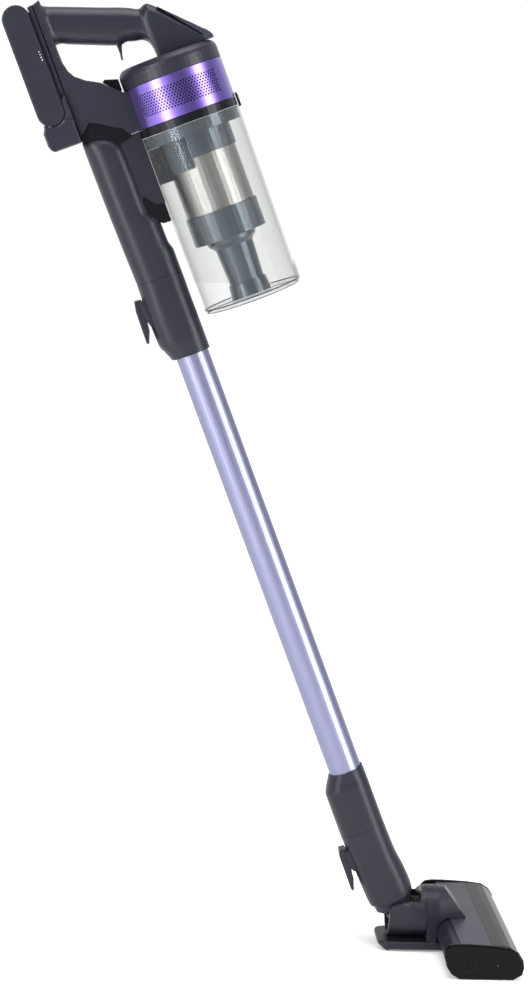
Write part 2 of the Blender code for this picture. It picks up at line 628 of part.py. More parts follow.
def make_hose():
    """A ribbed air hose, here its plain envelope: out of the neck, then forward into the yoke."""
    start = Vector(stick_point_in_floor(-0.0028, 0.1150))
    bend = Vector(stick_point_in_floor(-0.0028, 0.0570))
    end = Vector((0.0120, SWIVEL_UP + 0.0005))
    knee = Vector((bend.x + (bend.y - end.y) * math.tan(LEAN), end.y))
    route = [start, bend.lerp(start, 0.5)]
    for step in range(9):
        t = step / 8
        last = Vector((0.0010, end.y))
        route.append((1 - t) ** 2 * bend + 2 * t * (1 - t) * knee + t * t * last)
    route.append(end)
    curve = bpy.data.curves.new("ribbed_hose", "CURVE")
    curve.dimensions = "3D"
    curve.bevel_depth = HOSE_R
    curve.bevel_resolution = 4
    curve.use_fill_caps = True
    line = curve.splines.new("POLY")
    line.points.add(len(route) - 1)
    for point, spot in zip(line.points, route):
        point.co = (*place(spot.x, spot.y), 1)
    curve.materials.append(RUBBER)
    made = bpy.data.objects.new("ribbed_hose", curve)
    bpy.context.collection.objects.link(made)
    made.parent = floor


make_neck()
make_hose()


# ---- yoke: swivels on the head, carries the neck's pitch pins ------------------------------------
yoke_body = empty("yoke_body", place(SWIVEL_SEAM, SWIVEL_UP), floor)


def yoke_section(forward, top, corner):
    return face_on(forward, SWIVEL_UP - YOKE_R, top, YOKE_R, YOKE_R, corner, 8)


def make_yoke():
    """A barrel at the swivel seam, open behind as two cheeks that hold the neck's pitch pins."""
    full = SWIVEL_UP + YOKE_R
    slices = ((YOKE_REAR, 0.0525, 0.0010), (-0.0262, 0.0568, 0.0010), (-0.0140, 0.0605, 0.0010),
              (-0.0060, 0.0625, 0.0100), (0.0020, 0.0685, 0.0200), (0.0120, full - 0.0008, YOKE_R - 0.0005),
              (SWIVEL_SEAM, full, YOKE_R))
    yoke = loft("yoke", [yoke_section(*cut) for cut in slices], yoke_body, SLATE)
    floor_up, high = SWIVEL_UP - TROUGH_HALF, 0.0900
    trough = [face_on(forward, floor_up, high, TROUGH_HALF, TROUGH_HALF, 0.0010, 8)
              for forward in (-0.0400, -0.0010, 0.0010)]
    for point in trough[-1]:
        point.y -= max(0.0, point.z - 0.0500) * 0.33
    combine(yoke, loft("yoke_trough_cut", trough, yoke_body, DARK))
    combine(yoke, cylinder("yoke_bore_cut", 0.0200, -0.0400, 0.0300, yoke_body, DARK,
                           at=SWIVEL_UP, axis="forward", segments=40))
    combine(yoke, cylinder("yoke_pin_cut", PIN_R + GAP, -0.0293, 0.0293, yoke_body, DARK,
                           centre=PITCH_FWD, at=PITCH_UP, axis="across", segments=24))
    for side, name in ((-1, "pitch_pin_near"), (1, "pitch_pin_far")):
        cylinder(name, PIN_R, side * 0.0200, side * 0.0290, yoke_body, STEEL,
                 centre=PITCH_FWD, at=PITCH_UP, axis="across", segments=20)


make_yoke()


# ---- floor head ----------------------------------------------------------------------------------
HOUSING_HALF = NOZZLE_HALF - CAP_THICK - GAP
chamber = (ROLLER_FWD, ROLLER_UP)


def cap_outline():
    return [(0.0445, 0.0006), (0.0350, 0.0060), (0.0290, 0.0150), (0.0252, 0.0280), (0.0258, 0.0360),
            (0.0310, 0.0415), (0.0390, 0.0430), (0.0560, 0.0430), (0.0850, 0.0415), (0.1040, 0.0390),
            (0.1130, 0.0335), (0.1190, 0.0250), (0.1205, 0.0155), (0.1185, 0.0070), (0.1080, 0.0006)]


def housing_outline():
    """The roller housing's section: a rounded back, a flat deck, and the roller's chamber in front."""
    rear = [(0.0445, 0.0012), (0.0330, 0.0100), (0.0290, 0.0190), (0.0292, 0.0280), (0.0320, 0.0345),
            (0.0370, 0.0388), (0.0440, 0.0400), (0.0560, 0.0397), (0.0818, 0.0386)]
    return rear + arc(chamber, CHAMBER_R, 135.0, 225.0, 12) + [(0.0800, 0.0012)]


def housing_clearance():
    """The back of the roller housing, grown by the clearance between pieces."""
    return [(0.0600, 0.0000), (0.0425, 0.0000), (0.0325, 0.0093), (0.0286, 0.0188), (0.0288, 0.0300),
            (0.0600, 0.0300)]


def make_base_plate():
    """The tray behind the head, rounded at its rear corners, that carries the rear wheels."""
    low, top, rear, front, half = 0.0030, 0.0122, -0.0420, 0.0400, 0.0310
    rings = [plan(low, rear + 0.0060, front, half - 0.0006, 0.0070, 0.0004),
             plan(low + 0.0050, rear, front, half, 0.0120, 0.0004),
             plan(top - 0.0008, rear, front, half, 0.0120, 0.0004),
             plan(top, rear + 0.0008, front, half - 0.0008, 0.0112, 0.0004)]
    plate = loft("base_plate", rings, floor, SLATE)
    well = [(-0.0370, -0.0100), (-0.0230, -0.0100), (-0.0230, 0.0107), (-0.0370, 0.0107)]
    for side, name in ((-1, "rear_well_near_cut"), (1, "rear_well_far_cut")):
        combine(plate, prism(name, well, WELL_HALF, floor, DARK, centre=side * REAR_WHEEL[1]))
    combine(plate, prism("plate_front_cut", housing_clearance(), 0.0600, floor, DARK))


def channel_cuts(target, prefix):
    """The air channel: down steeply from the swivel's bore, then flat into the roller's chamber."""
    start, bend, end = place(0.0060, 0.0450), place(0.0420, 0.0250), place(0.0860, 0.0165)
    lap = (end - bend) * 0.1
    combine(target, slanted_tube(prefix + "_rear_cut", [start, bend], CHANNEL_R))
    combine(target, slanted_tube(prefix + "_front_cut", [bend - lap, end], CHANNEL_R))


def make_housing():
    housing = prism("roller_housing", housing_outline(), HOUSING_HALF, floor, SLATE)
    channel_cuts(housing, "housing_channel")
    well = [(0.0550, -0.0100), (0.0690, -0.0100), (0.0690, 0.0110), (0.0550, 0.0110)]
    for side, name in ((-1, "front_well_near_cut"), (1, "front_well_far_cut")):
        combine(housing, prism(name, well, WELL_HALF, floor, DARK, centre=side * FRONT_WHEEL[1]))


def slanted_tube(name, ends, radius):
    """A straight round bar between two places, used as a cutter."""
    along = ends[1] - ends[0]
    shape = bmesh.new()
    bmesh.ops.create_cone(shape, cap_ends=True, segments=32, radius1=radius, radius2=radius,
                          depth=along.length)
    turn = along.to_track_quat("Z", "Y").to_matrix().to_4x4()
    bmesh.ops.transform(shape, matrix=Matrix.Translation((ends[0] + ends[1]) / 2) @ turn, verts=shape.verts)
    return finish(name, shape, floor, DARK)


def cover_section(forward, low, top, half, corner):
    return face_on(forward, low, top, half, 0.0004, corner, 8)


def make_head_cover():
    """The block that the yoke swivels on: a barrel top that narrows to a tip over the roller housing."""
    full = SWIVEL_UP + YOKE_R
    slices = ((SWIVEL_SEAM + GAP, 0.0125, full, YOKE_R, YOKE_R - 0.0004),
              (0.0284, 0.0125, full - 0.0002, 0.0300, 0.0296),
              (0.0288, 0.0292, full - 0.0002, 0.0300, 0.0296),
              (0.0316, 0.0352, full - 0.0004, 0.0294, 0.0285),
              (0.0366, 0.0396, full - 0.0008, 0.0284, 0.0260),
              (0.0400, DECK, 0.0710, 0.0276, 0.0240),
              (0.0460, DECK, 0.0640, 0.0262, 0.0180),
              (0.0520, DECK, 0.0565, 0.0248, 0.0120),
              (0.0580, DECK, 0.0492, 0.0232, 0.0065),
              (0.0640, DECK, 0.0424, 0.0216, 0.0003))
    cover = loft("head_cover", [cover_section(*cut) for cut in slices], floor, SLATE)
    channel_cuts(cover, "cover_channel")
    prism("top_plate", [(0.0442, 0.0403), (0.0818, 0.0389), (0.0818, 0.0412), (0.0450, 0.0413)],
          HOUSING_HALF, floor, SILVER_GREY)


def make_window():
    outer = [(0.0821, 0.0412), (0.0960, 0.0402), (0.1040, 0.0385), (0.1125, 0.0332), (0.1184, 0.0248),
             (0.1199, 0.0155), (0.1186, 0.0090)]
    inner = [(0.1170, 0.0093), (0.1182, 0.0155), (0.1168, 0.0244), (0.1116, 0.0319), (0.1036, 0.0371),
             (0.0958, 0.0385), (0.0821, 0.0389)]
    prism("window", outer + inner, HOUSING_HALF, floor, SMOKED)


def make_end_caps():
    middle = NOZZLE_HALF - CAP_THICK / 2
    for side, name in ((-1, "end_cap_near"), (1, "end_cap_far")):
        prism(name, cap_outline(), CAP_THICK / 2, floor, DARK, 0.0018, side * middle)


def make_roller():
    roller = empty("roller_body", place(*chamber), floor)
    half = HOUSING_HALF - 0.0008
    where = {"centre": ROLLER_FWD, "at": ROLLER_UP, "axis": "across"}
    core = 0.0120
    cylinder("roller_core", core, -half, half, roller, DARK, segments=24, **where)
    turned("roller_nap", [(core + GAP, -half + 0.004), (ROLLER_R, -half + 0.004), (ROLLER_R, half - 0.004),
                          (core + GAP, half - 0.004)], roller, NAP, segments=40, **where)


def make_wheels():
    for (forward, across), name in ((REAR_WHEEL, "rear_wheel"), (FRONT_WHEEL, "front_wheel")):
        for side, end in ((-1, "_near"), (1, "_far")):
            middle = side * across
            body = empty(name + end + "_body", place(forward, WHEEL_R, middle), floor)
            cylinder(name + end, WHEEL_R, middle - WHEEL_HALF, middle + WHEEL_HALF, body, RUBBER,
                     centre=forward, at=WHEEL_R, axis="across", segments=24)


make_base_plate()
make_housing()
make_head_cover()
make_window()
make_end_caps()
make_roller()
make_wheels()
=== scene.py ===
"""Looks for the cordless stick vacuum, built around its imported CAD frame."""
import math

import bmesh
import bpy
from mathutils import Matrix, Vector


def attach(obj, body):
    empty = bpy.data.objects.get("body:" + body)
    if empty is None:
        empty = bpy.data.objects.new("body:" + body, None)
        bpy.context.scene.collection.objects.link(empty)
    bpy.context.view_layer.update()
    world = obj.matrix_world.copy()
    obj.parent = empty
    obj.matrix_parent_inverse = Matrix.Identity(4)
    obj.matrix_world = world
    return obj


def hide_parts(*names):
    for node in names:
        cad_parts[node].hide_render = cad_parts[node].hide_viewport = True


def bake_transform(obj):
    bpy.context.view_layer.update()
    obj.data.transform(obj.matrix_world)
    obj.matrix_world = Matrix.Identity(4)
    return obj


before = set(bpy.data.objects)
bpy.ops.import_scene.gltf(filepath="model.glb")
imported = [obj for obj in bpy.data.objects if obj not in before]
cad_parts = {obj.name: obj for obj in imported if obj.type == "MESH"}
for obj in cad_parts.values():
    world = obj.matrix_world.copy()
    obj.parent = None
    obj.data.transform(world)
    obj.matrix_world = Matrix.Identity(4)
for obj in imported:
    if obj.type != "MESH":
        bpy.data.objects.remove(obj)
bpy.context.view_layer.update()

# ---- Studio: camera, backdrop and lights -----------------
# A pale floor and a white surround.  Two tall soft boxes stand either side of the camera and put the
# long streaks on the round parts; one hangs overhead.
LEAN = math.radians(22.1)                       # the stick leans back from the vertical
FOOT = Vector((0.0, -0.4186420, -1.0841508))    # where the wand's axis meets the floor
STICK = Matrix.Translation(FOOT) @ Matrix.Rotation(-LEAN, 4, "X")


def on_stick(forward, up, across=0.0):
    """A place counted along the leaning stick: forward of the wand's axis, up it, and across."""
    return STICK @ Vector((across, -forward, up))


def on_floor(forward, up, across=0.0):
    """A place in the floor head, which stands level."""
    return FOOT + Vector((across, -forward, up))


def add(tree, kind, settings=(), inputs=()):
    """One node of any tree: its settings first, then the values or links of its sockets."""
    node = tree.nodes.new(kind)
    for key, value in dict(settings).items():
        setattr(node, key, value)
    for key, value in dict(inputs).items():
        value = getattr(value, "socket", value)
        if isinstance(value, bpy.types.NodeSocket):
            tree.links.new(value, node.inputs[key])
        else:
            node.inputs[key].default_value = value
    return node


def stand(item):
    """Put an object in the scene."""
    bpy.context.collection.objects.link(item)


CAMERA_PLACE = (-2.7385, -0.0577, -0.1310)
CAMERA_YAW, CAMERA_PITCH, CAMERA_ROLL = math.radians(3.379), math.radians(8.311), math.radians(2.186)
CAMERA_LENS, SENSOR = 85.70, 36.0                # millimetres


def stand_camera():
    """A camera on the near side, level with the bin, that looks slightly down."""
    yaw, pitch, roll = CAMERA_YAW, CAMERA_PITCH, CAMERA_ROLL
    ahead = Vector((math.cos(pitch) * math.cos(yaw), -math.cos(pitch) * math.sin(yaw), -math.sin(pitch)))
    right = ahead.cross(Vector((0, 0, 1))).normalized()
    up = right.cross(ahead)
    right, up = math.cos(roll) * right + math.sin(roll) * up, math.cos(roll) * up - math.sin(roll) * right
    lens = bpy.data.cameras.new("camera")
    lens.lens, lens.sensor_width, lens.sensor_fit, lens.clip_end = CAMERA_LENS, SENSOR, "AUTO", 100.0
    camera = bpy.data.objects.new("camera", lens)
    turn = Matrix((right, up, -ahead)).transposed().to_4x4()
    camera.matrix_world = Matrix.Translation(CAMERA_PLACE) @ turn
    stand(camera)
    bpy.context.scene.camera = camera


def soft_box(name, place, aim, size, power):
    """A rectangular soft light in metres and watts, aimed at a place."""
    light = bpy.data.lights.new(name, "AREA")
    light.shape, light.size, light.size_y, light.energy = "RECTANGLE", *size, power
    lamp = bpy.data.objects.new(name, light)
    turn = (Vector(aim) - Vector(place)).to_track_quat("-Z", "Y")
    lamp.matrix_world = Matrix.Translation(place) @ turn.to_matrix().to_4x4()
    stand(lamp)


def surround():
    """White where the camera looks, and a dimmer room on the camera's side for the parts to mirror."""
    world = bpy.data.worlds.new("surround")
    bpy.context.scene.world = world
    world.use_nodes = True
    tree = world.node_tree
    room = tree.nodes["Background"]
    where = add(tree, "ShaderNodeTexCoord").outputs["Generated"]
    side = add(tree, "ShaderNodeSeparateXYZ", {}, {0: where}).outputs["X"]
    dim = add(tree, "ShaderNodeMapRange", {}, {0: side, 1: -0.15, 2: 0.75, 3: 0.10, 4: 0.95}).outputs[0]
    tree.links.new(dim, room.inputs["Strength"])
    room.inputs["Color"].default_value = (0.97, 0.98, 1.0, 1.0)
    white = add(tree, "ShaderNodeBackground", {}, {"Color": (1, 1, 1, 1), "Strength": 1.0})
    seen = add(tree, "ShaderNodeLightPath").outputs["Is Camera Ray"]
    both = add(tree, "ShaderNodeMixShader", {}, {0: seen, 1: room.outputs[0], 2: white.outputs[0]})
    tree.links.new(both.outputs[0], tree.nodes["World Output"].inputs["Surface"])


stand_camera()
surround()
bpy.context.scene.view_settings.view_transform = "Standard"
soft_box("left_box", (-1.70, 1.45, 0.10), (0, -0.2, -0.35), (0.80, 2.6), 62)
soft_box("right_box", (-1.30, -2.10, 0.10), (0, -0.3, -0.35), (0.85, 2.6), 70)
soft_box("top_box", (-0.30, -0.20, 1.90), (0, -0.3, -0.3), (1.8, 1.8), 52)

FLOOR_REACH = 14.0
floor_mesh = bpy.data.meshes.new("studio_floor")
corners = ((-1, -1), (1, -1), (1, 1), (-1, 1))
floor_mesh.from_pydata([(FLOOR_REACH * x, FLOOR_REACH * y, FOOT.z) for x, y in corners], [], [(0, 1, 2, 3)])
studio_floor = bpy.data.objects.new("studio_floor", floor_mesh)
stand(studio_floor)


# ---- Finishes that several pieces share ------------------
# Satin moulded plastic with a fine spark-eroded grain, faint flow marks and rubbed patches.
class Wire:
    """A socket inside a finish.  Arithmetic on it adds Math nodes."""

    def __init__(self, finish, socket):
        self.finish, self.socket = finish, socket

    def maths(self, operation, *values):
        return self.finish.node("Math", {"operation": operation}, dict(enumerate(values)))

    def __add__(self, other):
        return self.maths("ADD", self, other)

    def __sub__(self, other):
        return self.maths("SUBTRACT", self, other)

    def __rsub__(self, other):
        return self.maths("SUBTRACT", other, self)

    def __mul__(self, other):
        return self.maths("MULTIPLY", self, other)

    def __pow__(self, other):
        return self.maths("POWER", self, other)

    __radd__, __rmul__ = __add__, __mul__


class Finish:
    """A material and the short words that mix it."""

    def __init__(self, name, **constants):
        self.material = bpy.data.materials.new(name)
        self.material.use_nodes = True
        self.tree = self.material.node_tree
        self.shader = self.tree.nodes["Principled BSDF"]
        for key, value in constants.items():
            self.set(key.replace("_", " ").title().replace("Ior", "IOR"), value)    # base_color: Base Color

    def node(self, kind, settings=(), inputs=(), out=0):
        made = add(self.tree, "ShaderNode" + kind, settings, inputs)
        return Wire(self, made.outputs[out])

    def set(self, socket, value):
        value = getattr(value, "socket", value)
        if isinstance(value, bpy.types.NodeSocket):
            self.tree.links.new(value, self.shader.inputs[socket])
        else:
            self.shader.inputs[socket].default_value = value

    def place(self, origin=(0, 0, 0), turn=(0, 0, 0), stretch=(1, 1, 1)):
        """Object coordinates, moved to an origin and turned, then stretched."""
        where = self.node("TexCoord", out=3)
        moved = self.node("Mapping", {"vector_type": "TEXTURE"},
                          {0: where, "Location": origin, "Rotation": turn})
        return self.node("VectorMath", {"operation": "MULTIPLY"}, {0: moved, 1: stretch})

    def noise(self, where, scale, detail=3.0, roughness=0.5):
        return self.node("TexNoise", {}, {"Vector": where, "Scale": scale, "Detail": detail,
                                          "Roughness": roughness})

    def blend(self, factor, low, high):
        """A colour between two."""
        made = add(self.tree, "ShaderNodeMix", {"data_type": "RGBA"}, {0: factor, 6: (*low, 1), 7: (*high, 1)})
        return Wire(self, made.outputs[2])

    def bump(self, height, distance, strength=1.0):
        self.set("Normal", self.node("Bump", {}, {"Height": height, "Distance": distance,
                                                  "Strength": strength}))


STICK_TURN = (-LEAN, 0, 0)


RUBBED_LIFT = 1.5                # how much lighter the plastic is where it is rubbed


def moulded(name, colour, roughness, grain=0.00004, wear=0.25, **constants):
    """Moulded plastic: base colour with cloudy flow marks, a matt grain, and rubbed, shinier patches."""
    finish = Finish(name, **constants)
    where = finish.place()
    clouds = finish.noise(where, 14.0, 4.0)
    rubbed = finish.noise(where, 38.0, 6.0, 0.65) ** 3 * wear
    light = tuple(min(1.0, channel * RUBBED_LIFT) for channel in colour)
    finish.set("Base Color", finish.blend(clouds * 0.5 + rubbed * 0.6, colour, light))
    finish.set("Roughness", roughness + rubbed * 0.25 - clouds * 0.05)
    finish.bump(finish.noise(where, 2600.0, 2.0), grain)
    return finish.material


def dress(material, *nodes):
    """Give CAD nodes a finish."""
    for name in nodes:
        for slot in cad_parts[name].material_slots:
            slot.material = material


slate = moulded("slate_satin", (0.0120, 0.0128, 0.0200), 0.38, specular_ior_level=0.28)
dark = moulded("dark_satin", (0.003, 0.0035, 0.0055), 0.30, specular_ior_level=0.22)


def link(mesh, name, material, smooth=35):
    """A finished mesh becomes a piece: doubles merged, faces outwards, soft faces with crisp edges."""
    shape = bmesh.new()
    shape.from_mesh(mesh)
    bmesh.ops.remove_doubles(shape, verts=shape.verts, dist=2e-6)
    bmesh.ops.recalc_face_normals(shape, faces=shape.faces)
    shape.to_mesh(mesh)
    shape.free()
    mesh.materials.clear()
    mesh.materials.append(material)
    mesh.shade_smooth()
    mesh.set_sharp_from_angle(angle=math.radians(smooth))
    piece = bpy.data.objects.new(name, mesh)
    stand(piece)
    return piece


def skin(name, rings, material, closed=False, smooth=35):
    """Skin equal rings of world places; closed joins the last ring to the first, as in a tube's wall."""
    mesh = bpy.data.meshes.new(name)
    count = len(rings[0])
    verts = [point for ring in rings for point in ring]
    faces = []
    pairs = list(zip(range(len(rings)), range(1, len(rings))))
    if closed:
        pairs.append((len(rings) - 1, 0))
    for low, high in pairs:
        for i in range(count):
            j = (i + 1) % count
            faces.append((low * count + i, low * count + j, high * count + j, high * count + i))
    if not closed:
        faces.append(tuple(range(count))[::-1])
        faces.append(tuple((len(rings) - 1) * count + i for i in range(count)))
    mesh.from_pydata(verts, [], faces)
    return link(mesh, name, material, smooth)


# ---- Battery pack ----------------------------------------
# A slim removable pack with rounded ends: two cover plates either side of a core, a rail along its
# front and a foot under it.  Moulded in the slate plastic; small lamps on the plates show the charge.
dress(slate, "battery_pack", "battery_plate_near", "battery_plate_far", "battery_rail", "battery_foot")

lamp_finish = Finish("gauge_lamp", roughness=0.35)
lamp_finish.set("Base Color", lamp_finish.blend(lamp_finish.noise(lamp_finish.place(), 900.0),
                                                (0.45, 0.47, 0.52), (0.75, 0.77, 0.82)))
GAUGE = ((-0.0443, 1.1545), (-0.0442, 1.1512), (-0.0440, 1.1478), (-0.0438, 1.1445))     # forward, up
GAUGE_R, PLATE_FACE = 0.0006, 0.0310


def circle(radius, count, height=0.0):
    """Places round the Z axis."""
    angles = (2 * math.pi * i / count for i in range(count))
    return [Vector((radius * math.cos(angle), radius * math.sin(angle), height)) for angle in angles]


def disc_stack(name, centre, normal, rings, material, count):
    """A small turned part: (radius, height) rings stacked along a normal."""
    turn = Vector(normal).to_track_quat("Z", "Y").to_matrix()
    rows = [[Vector(centre) + turn @ point for point in circle(radius, count, height)] for radius, height in rings]
    return skin(name, rows, material)


for number, (forward, up) in enumerate(GAUGE):
    for side, end in ((-1, "near"), (1, "far")):
        lamp = disc_stack(f"gauge_lamp_{end}_{number + 1}", on_stick(forward, up, side * PLATE_FACE),
                          (side, 0, 0), ((GAUGE_R, -0.0004), (GAUGE_R, 0.00005), (GAUGE_R * 0.7, 0.00016)),
                          lamp_finish.material, 14)
        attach(lamp, "battery")


# ---- Handle, trigger and control panel -------------------
# The rear frame and the handle bar are one slate moulding with the motor's head; the trigger is a thin
# fin on a steel pin, and the panel on the sloping face is a lighter insert with two push buttons.
def eased(sections, steps=6):
    """Fill in between sections of numbers so that the run is smooth but never overshoots."""
    slopes = []
    for k in range(len(sections)):
        here = []
        for i in range(len(sections[0])):
            if k in (0, len(sections) - 1):
                here.append(0.0)
                continue
            gap_a = sections[k][0] - sections[k - 1][0]
            gap_b = sections[k + 1][0] - sections[k][0]
            a = (sections[k][i] - sections[k - 1][i]) / gap_a
            b = (sections[k + 1][i] - sections[k][i]) / gap_b
            here.append(0.0 if a * b <= 0 else 2 * a * b / (a + b))
        slopes.append(here)
    for end, near in ((0, 1), (-1, -2)):
        span = sections[near][0] - sections[end][0]
        slopes[end] = [(q - p) / span for p, q in zip(sections[end], sections[near])]
    filled = []
    for k in range(len(sections) - 1):
        low, high, span = sections[k], sections[k + 1], sections[k + 1][0] - sections[k][0]
        for step in range(steps):
            t = step / steps
            h00, h10 = 2 * t ** 3 - 3 * t ** 2 + 1, t ** 3 - 2 * t ** 2 + t
            h01, h11 = 3 * t ** 2 - 2 * t ** 3, t ** 3 - t ** 2
            row = [h00 * p + h10 * span * m + h01 * q + h11 * span * n
                   for p, q, m, n in zip(low, high, slopes[k], slopes[k + 1])]
            row[0] = low[0] + t * span
            filled.append(tuple(row))
    return filled + [tuple(sections[-1])]


def rounded(near, far, half, near_r, far_r, steps=14):
    """A rounded rectangle as (across, along) points, with a corner radius at each end."""
    points = []
    corners = ((half - far_r, far - far_r, far_r, 0), (far_r - half, far - far_r, far_r, 90),
               (near_r - half, near + near_r, near_r, 180), (half - near_r, near + near_r, near_r, 270))
    for across, along, radius, start in corners:
        for step in range(steps + 1):
            angle = math.radians(start + 90 * step / steps)
            points.append((across + radius * math.cos(angle), along + radius * math.sin(angle)))
    return points


def level_slice(up, back, front, half, back_r, front_r):
    """A slice square to the stick at one height."""
    return [on_stick(along, up, across) for across, along in rounded(back, front, half, back_r, front_r)]


def round_slice(up, radius, centre=0.0):
    return level_slice(up, centre - radius, centre + radius, radius, radius, radius)


def face_slice(forward, low, top, half, low_r, top_r):
    """A slice seen from the front, at one forward place on the stick."""
    return [on_stick(forward, along, across) for across, along in rounded(low, top, half, low_r, top_r)]


def extrude(name, outline, half, material, centre=0.0, edge=0.0, where=on_stick):
    """A side outline of (forward, up) points carried across the machine, its rims rounded over."""
    shape = bmesh.new()
    base = shape.faces.new([shape.verts.new(where(f, u, centre - half)) for f, u in outline])
    grown = bmesh.ops.extrude_face_region(shape, geom=[base])
    moved = [item for item in grown["geom"] if isinstance(item, bmesh.types.BMVert)]
    bmesh.ops.translate(shape, verts=moved, vec=(2 * half, 0, 0))
    if edge:
        rims = [e for e in shape.edges if abs(e.verts[0].co.x - e.verts[1].co.x) < 1e-9]
        bmesh.ops.bevel(shape, geom=rims, offset=edge, segments=3, profile=0.5, affect="EDGES",
                        clamp_overlap=True)
    mesh = bpy.data.meshes.new(name)
    shape.to_mesh(mesh)
    shape.free()
    return link(mesh, name, material)


def carve(piece, *tools):
    """Cut pieces out of a piece, and keep the plain mesh."""
    for tool in tools:
        cut = piece.modifiers.new(tool.name, "BOOLEAN")
        cut.operation, cut.solver, cut.object = "DIFFERENCE", "EXACT", tool
    bpy.context.view_layer.update()
    graph = bpy.context.evaluated_depsgraph_get()
    name, material = piece.name, piece.data.materials[0]
    mesh = bpy.data.meshes.new_from_object(piece.evaluated_get(graph))
    for used in (piece, *tools):
        bpy.data.objects.remove(used)
    return link(mesh, name, material)


def bar_cut(forward):
    """The handle bar's lowest and highest point at one forward place.  It slopes down and thins."""
    low_slope, top_slope = 0.3950, 0.3790
    return 1.1570 - low_slope * (forward + 0.0220), 1.2018 - top_slope * (forward + 0.0218)


def make_handle():
    """Bar and head in one moulding: it lifts over the finger in front of the trigger, then drops to
    the motor's shoulder."""
    foot = 1.1040
    # each cut: forward, low, top, half width, low and top corner radius
    bar = [(f, *bar_cut(f), 0.0175, 0.0165, 0.0165) for f in (-0.0200, -0.0100, 0.0200, 0.0400, 0.0450)]
    front = [(0.0530, 1.1322, 1.1738, 0.0175, 0.0160, 0.0165), (0.0620, 1.1302, 1.1704, 0.0175, 0.0155, 0.0165),
             (0.0703, 1.1286, 1.1668, 0.0175, 0.0150, 0.0160), (0.0752, 1.1255, 1.1640, 0.0177, 0.0130, 0.0160),
             (0.0786, 1.1205, 1.1628, 0.0182, 0.0090, 0.0160), (0.0803, 1.1135, 1.1627, 0.0187, 0.0040, 0.0160)]
    head = [(0.0809, foot, 1.1628, 0.0190, 0.0010, 0.0160), (0.0850, foot, 1.1646, 0.0199, 0.0010, 0.0150),
            (0.0888, foot, 1.1652, 0.0200, 0.0010, 0.0140), (0.0927, foot, 1.1630, 0.0200, 0.0010, 0.0140),
            (0.0988, foot, 1.1575, 0.0200, 0.0010, 0.0130), (0.1028, foot, 1.1526, 0.0200, 0.0010, 0.0120),
            (0.1382, foot, 1.1098, 0.0185, 0.0005, 0.0030)]
    start = (-0.0243, 1.1560, 1.2040, 0.0195, 0.0160, 0.0160)
    rings = [face_slice(*cut) for cut in eased([start] + bar + front, 5) + eased(head, 5)]
    shell = skin("handle_shell", rings, slate)
    trigger_slot = ((0.0340, 1.1000), (0.0560, 1.1000), (0.0560, 1.1500), (0.0340, 1.1500))
    return carve(shell, extrude("trigger_slot", trigger_slot, 0.0056, slate))


plate_grey = moulded("plate_grey", (0.024, 0.025, 0.037), 0.38, specular_ior_level=0.3)
panel_grey = moulded("panel_grey", (0.026, 0.028, 0.042), 0.36, specular_ior_level=0.25)
dress(slate, "handle_frame", "trigger")
handle = make_handle()
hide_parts("handle_grip", "handle_head")
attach(handle, "hand_unit")
NOSE = ((0.1416, 1.1164), (0.1462, 1.1112), (0.1484, 1.1072), (0.1488, 1.1040), (0.1376, 1.1040),
        (0.1376, 1.1100), (0.1410, 1.1120))
dress(panel_grey, "control_panel")
nose = extrude("panel_nose", NOSE, 0.0186, panel_grey, edge=0.0012)
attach(nose, "hand_unit")
dress(dark, "power_button", "mode_button", "release_button", "bin_latch")


# A dark block in the arch under the frame, painted shade for the shadowed recess there, and the web that closes the
# battery foot to its rail.
ARCH = ((-0.0338, 1.0500), (-0.0316, 1.0505), (-0.0258, 1.0558), (-0.0194, 1.0610), (-0.0101, 1.0570),
        (0.0021, 1.0490), (0.0145, 1.0420), (0.0184, 1.0360), (0.0218, 1.0330), (0.0218, 1.0290),
        (0.0040, 1.0255), (-0.0030, 1.0300), (-0.0150, 1.0385), (-0.0240, 1.0415), (-0.0338, 1.0425))
arch = extrude("arch_liner", ARCH, 0.0168, dark)
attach(arch, "hand_unit")
WEB = ((-0.0340, 1.0650), (-0.0340, 1.1010), (-0.0395, 1.0950), (-0.0402, 1.0800), (-0.0430, 1.0740),
       (-0.0480, 1.0690), (-0.0480, 1.0650))
web = extrude("battery_web", WEB, 0.0285, slate, edge=0.0008)
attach(web, "battery")


# ---- Motor housing and exhaust band ----------------------
# A slate shoulder over a violet anodised band, stamped with staggered round holes that let the air
# out of the filter behind it, and a dark ring where the bin seats.
BIN_FWD = 0.0898
MOTOR_R = 0.0592
BAND_LOW, BAND_TOP = 1.0325, 1.0807
BIN_AXIS = STICK @ Matrix.Translation((0, -BIN_FWD, 0))
ROWS, COLUMNS, HOLE_SIDES = 9, 27, 8
PITCH, ROW_PITCH, HOLE_R, SHEET = 0.0038, 0.0030, 0.00120, 0.0009
HOLES_LOW, EDGE_TURN, LIP = 1.0436, 0.0004, 0.0018
PLAIN_STEPS = 24                 # flat faces of the plain sheet between the two stamped windows
dress(slate, "motor_shoulder")
dress(dark, "motor_base_ring", "impeller")


def anodised(name, colour, streak, roughness, stretch=(1, 1, 0.02), scale=900.0, **constants):
    """Dyed, brushed aluminium: fine streaks run along the metal and shift its sheen."""
    finish = Finish(name, metallic=1.0, **constants)
    where = finish.place(tuple(FOOT), STICK_TURN, stretch)
    lines = finish.noise(where, scale, 3.0, 0.6)
    finish.set("Base Color", finish.blend(lines, colour, streak))
    finish.set("Roughness", roughness + lines * 0.10)
    finish.bump(lines, 0.00001)
    return finish.material


violet = anodised("violet_anodised", (0.17, 0.105, 0.47), (0.23, 0.155, 0.55), 0.27,
                  stretch=(1, 1, 8.0), scale=300.0, coat_weight=0.5, coat_roughness=0.22)


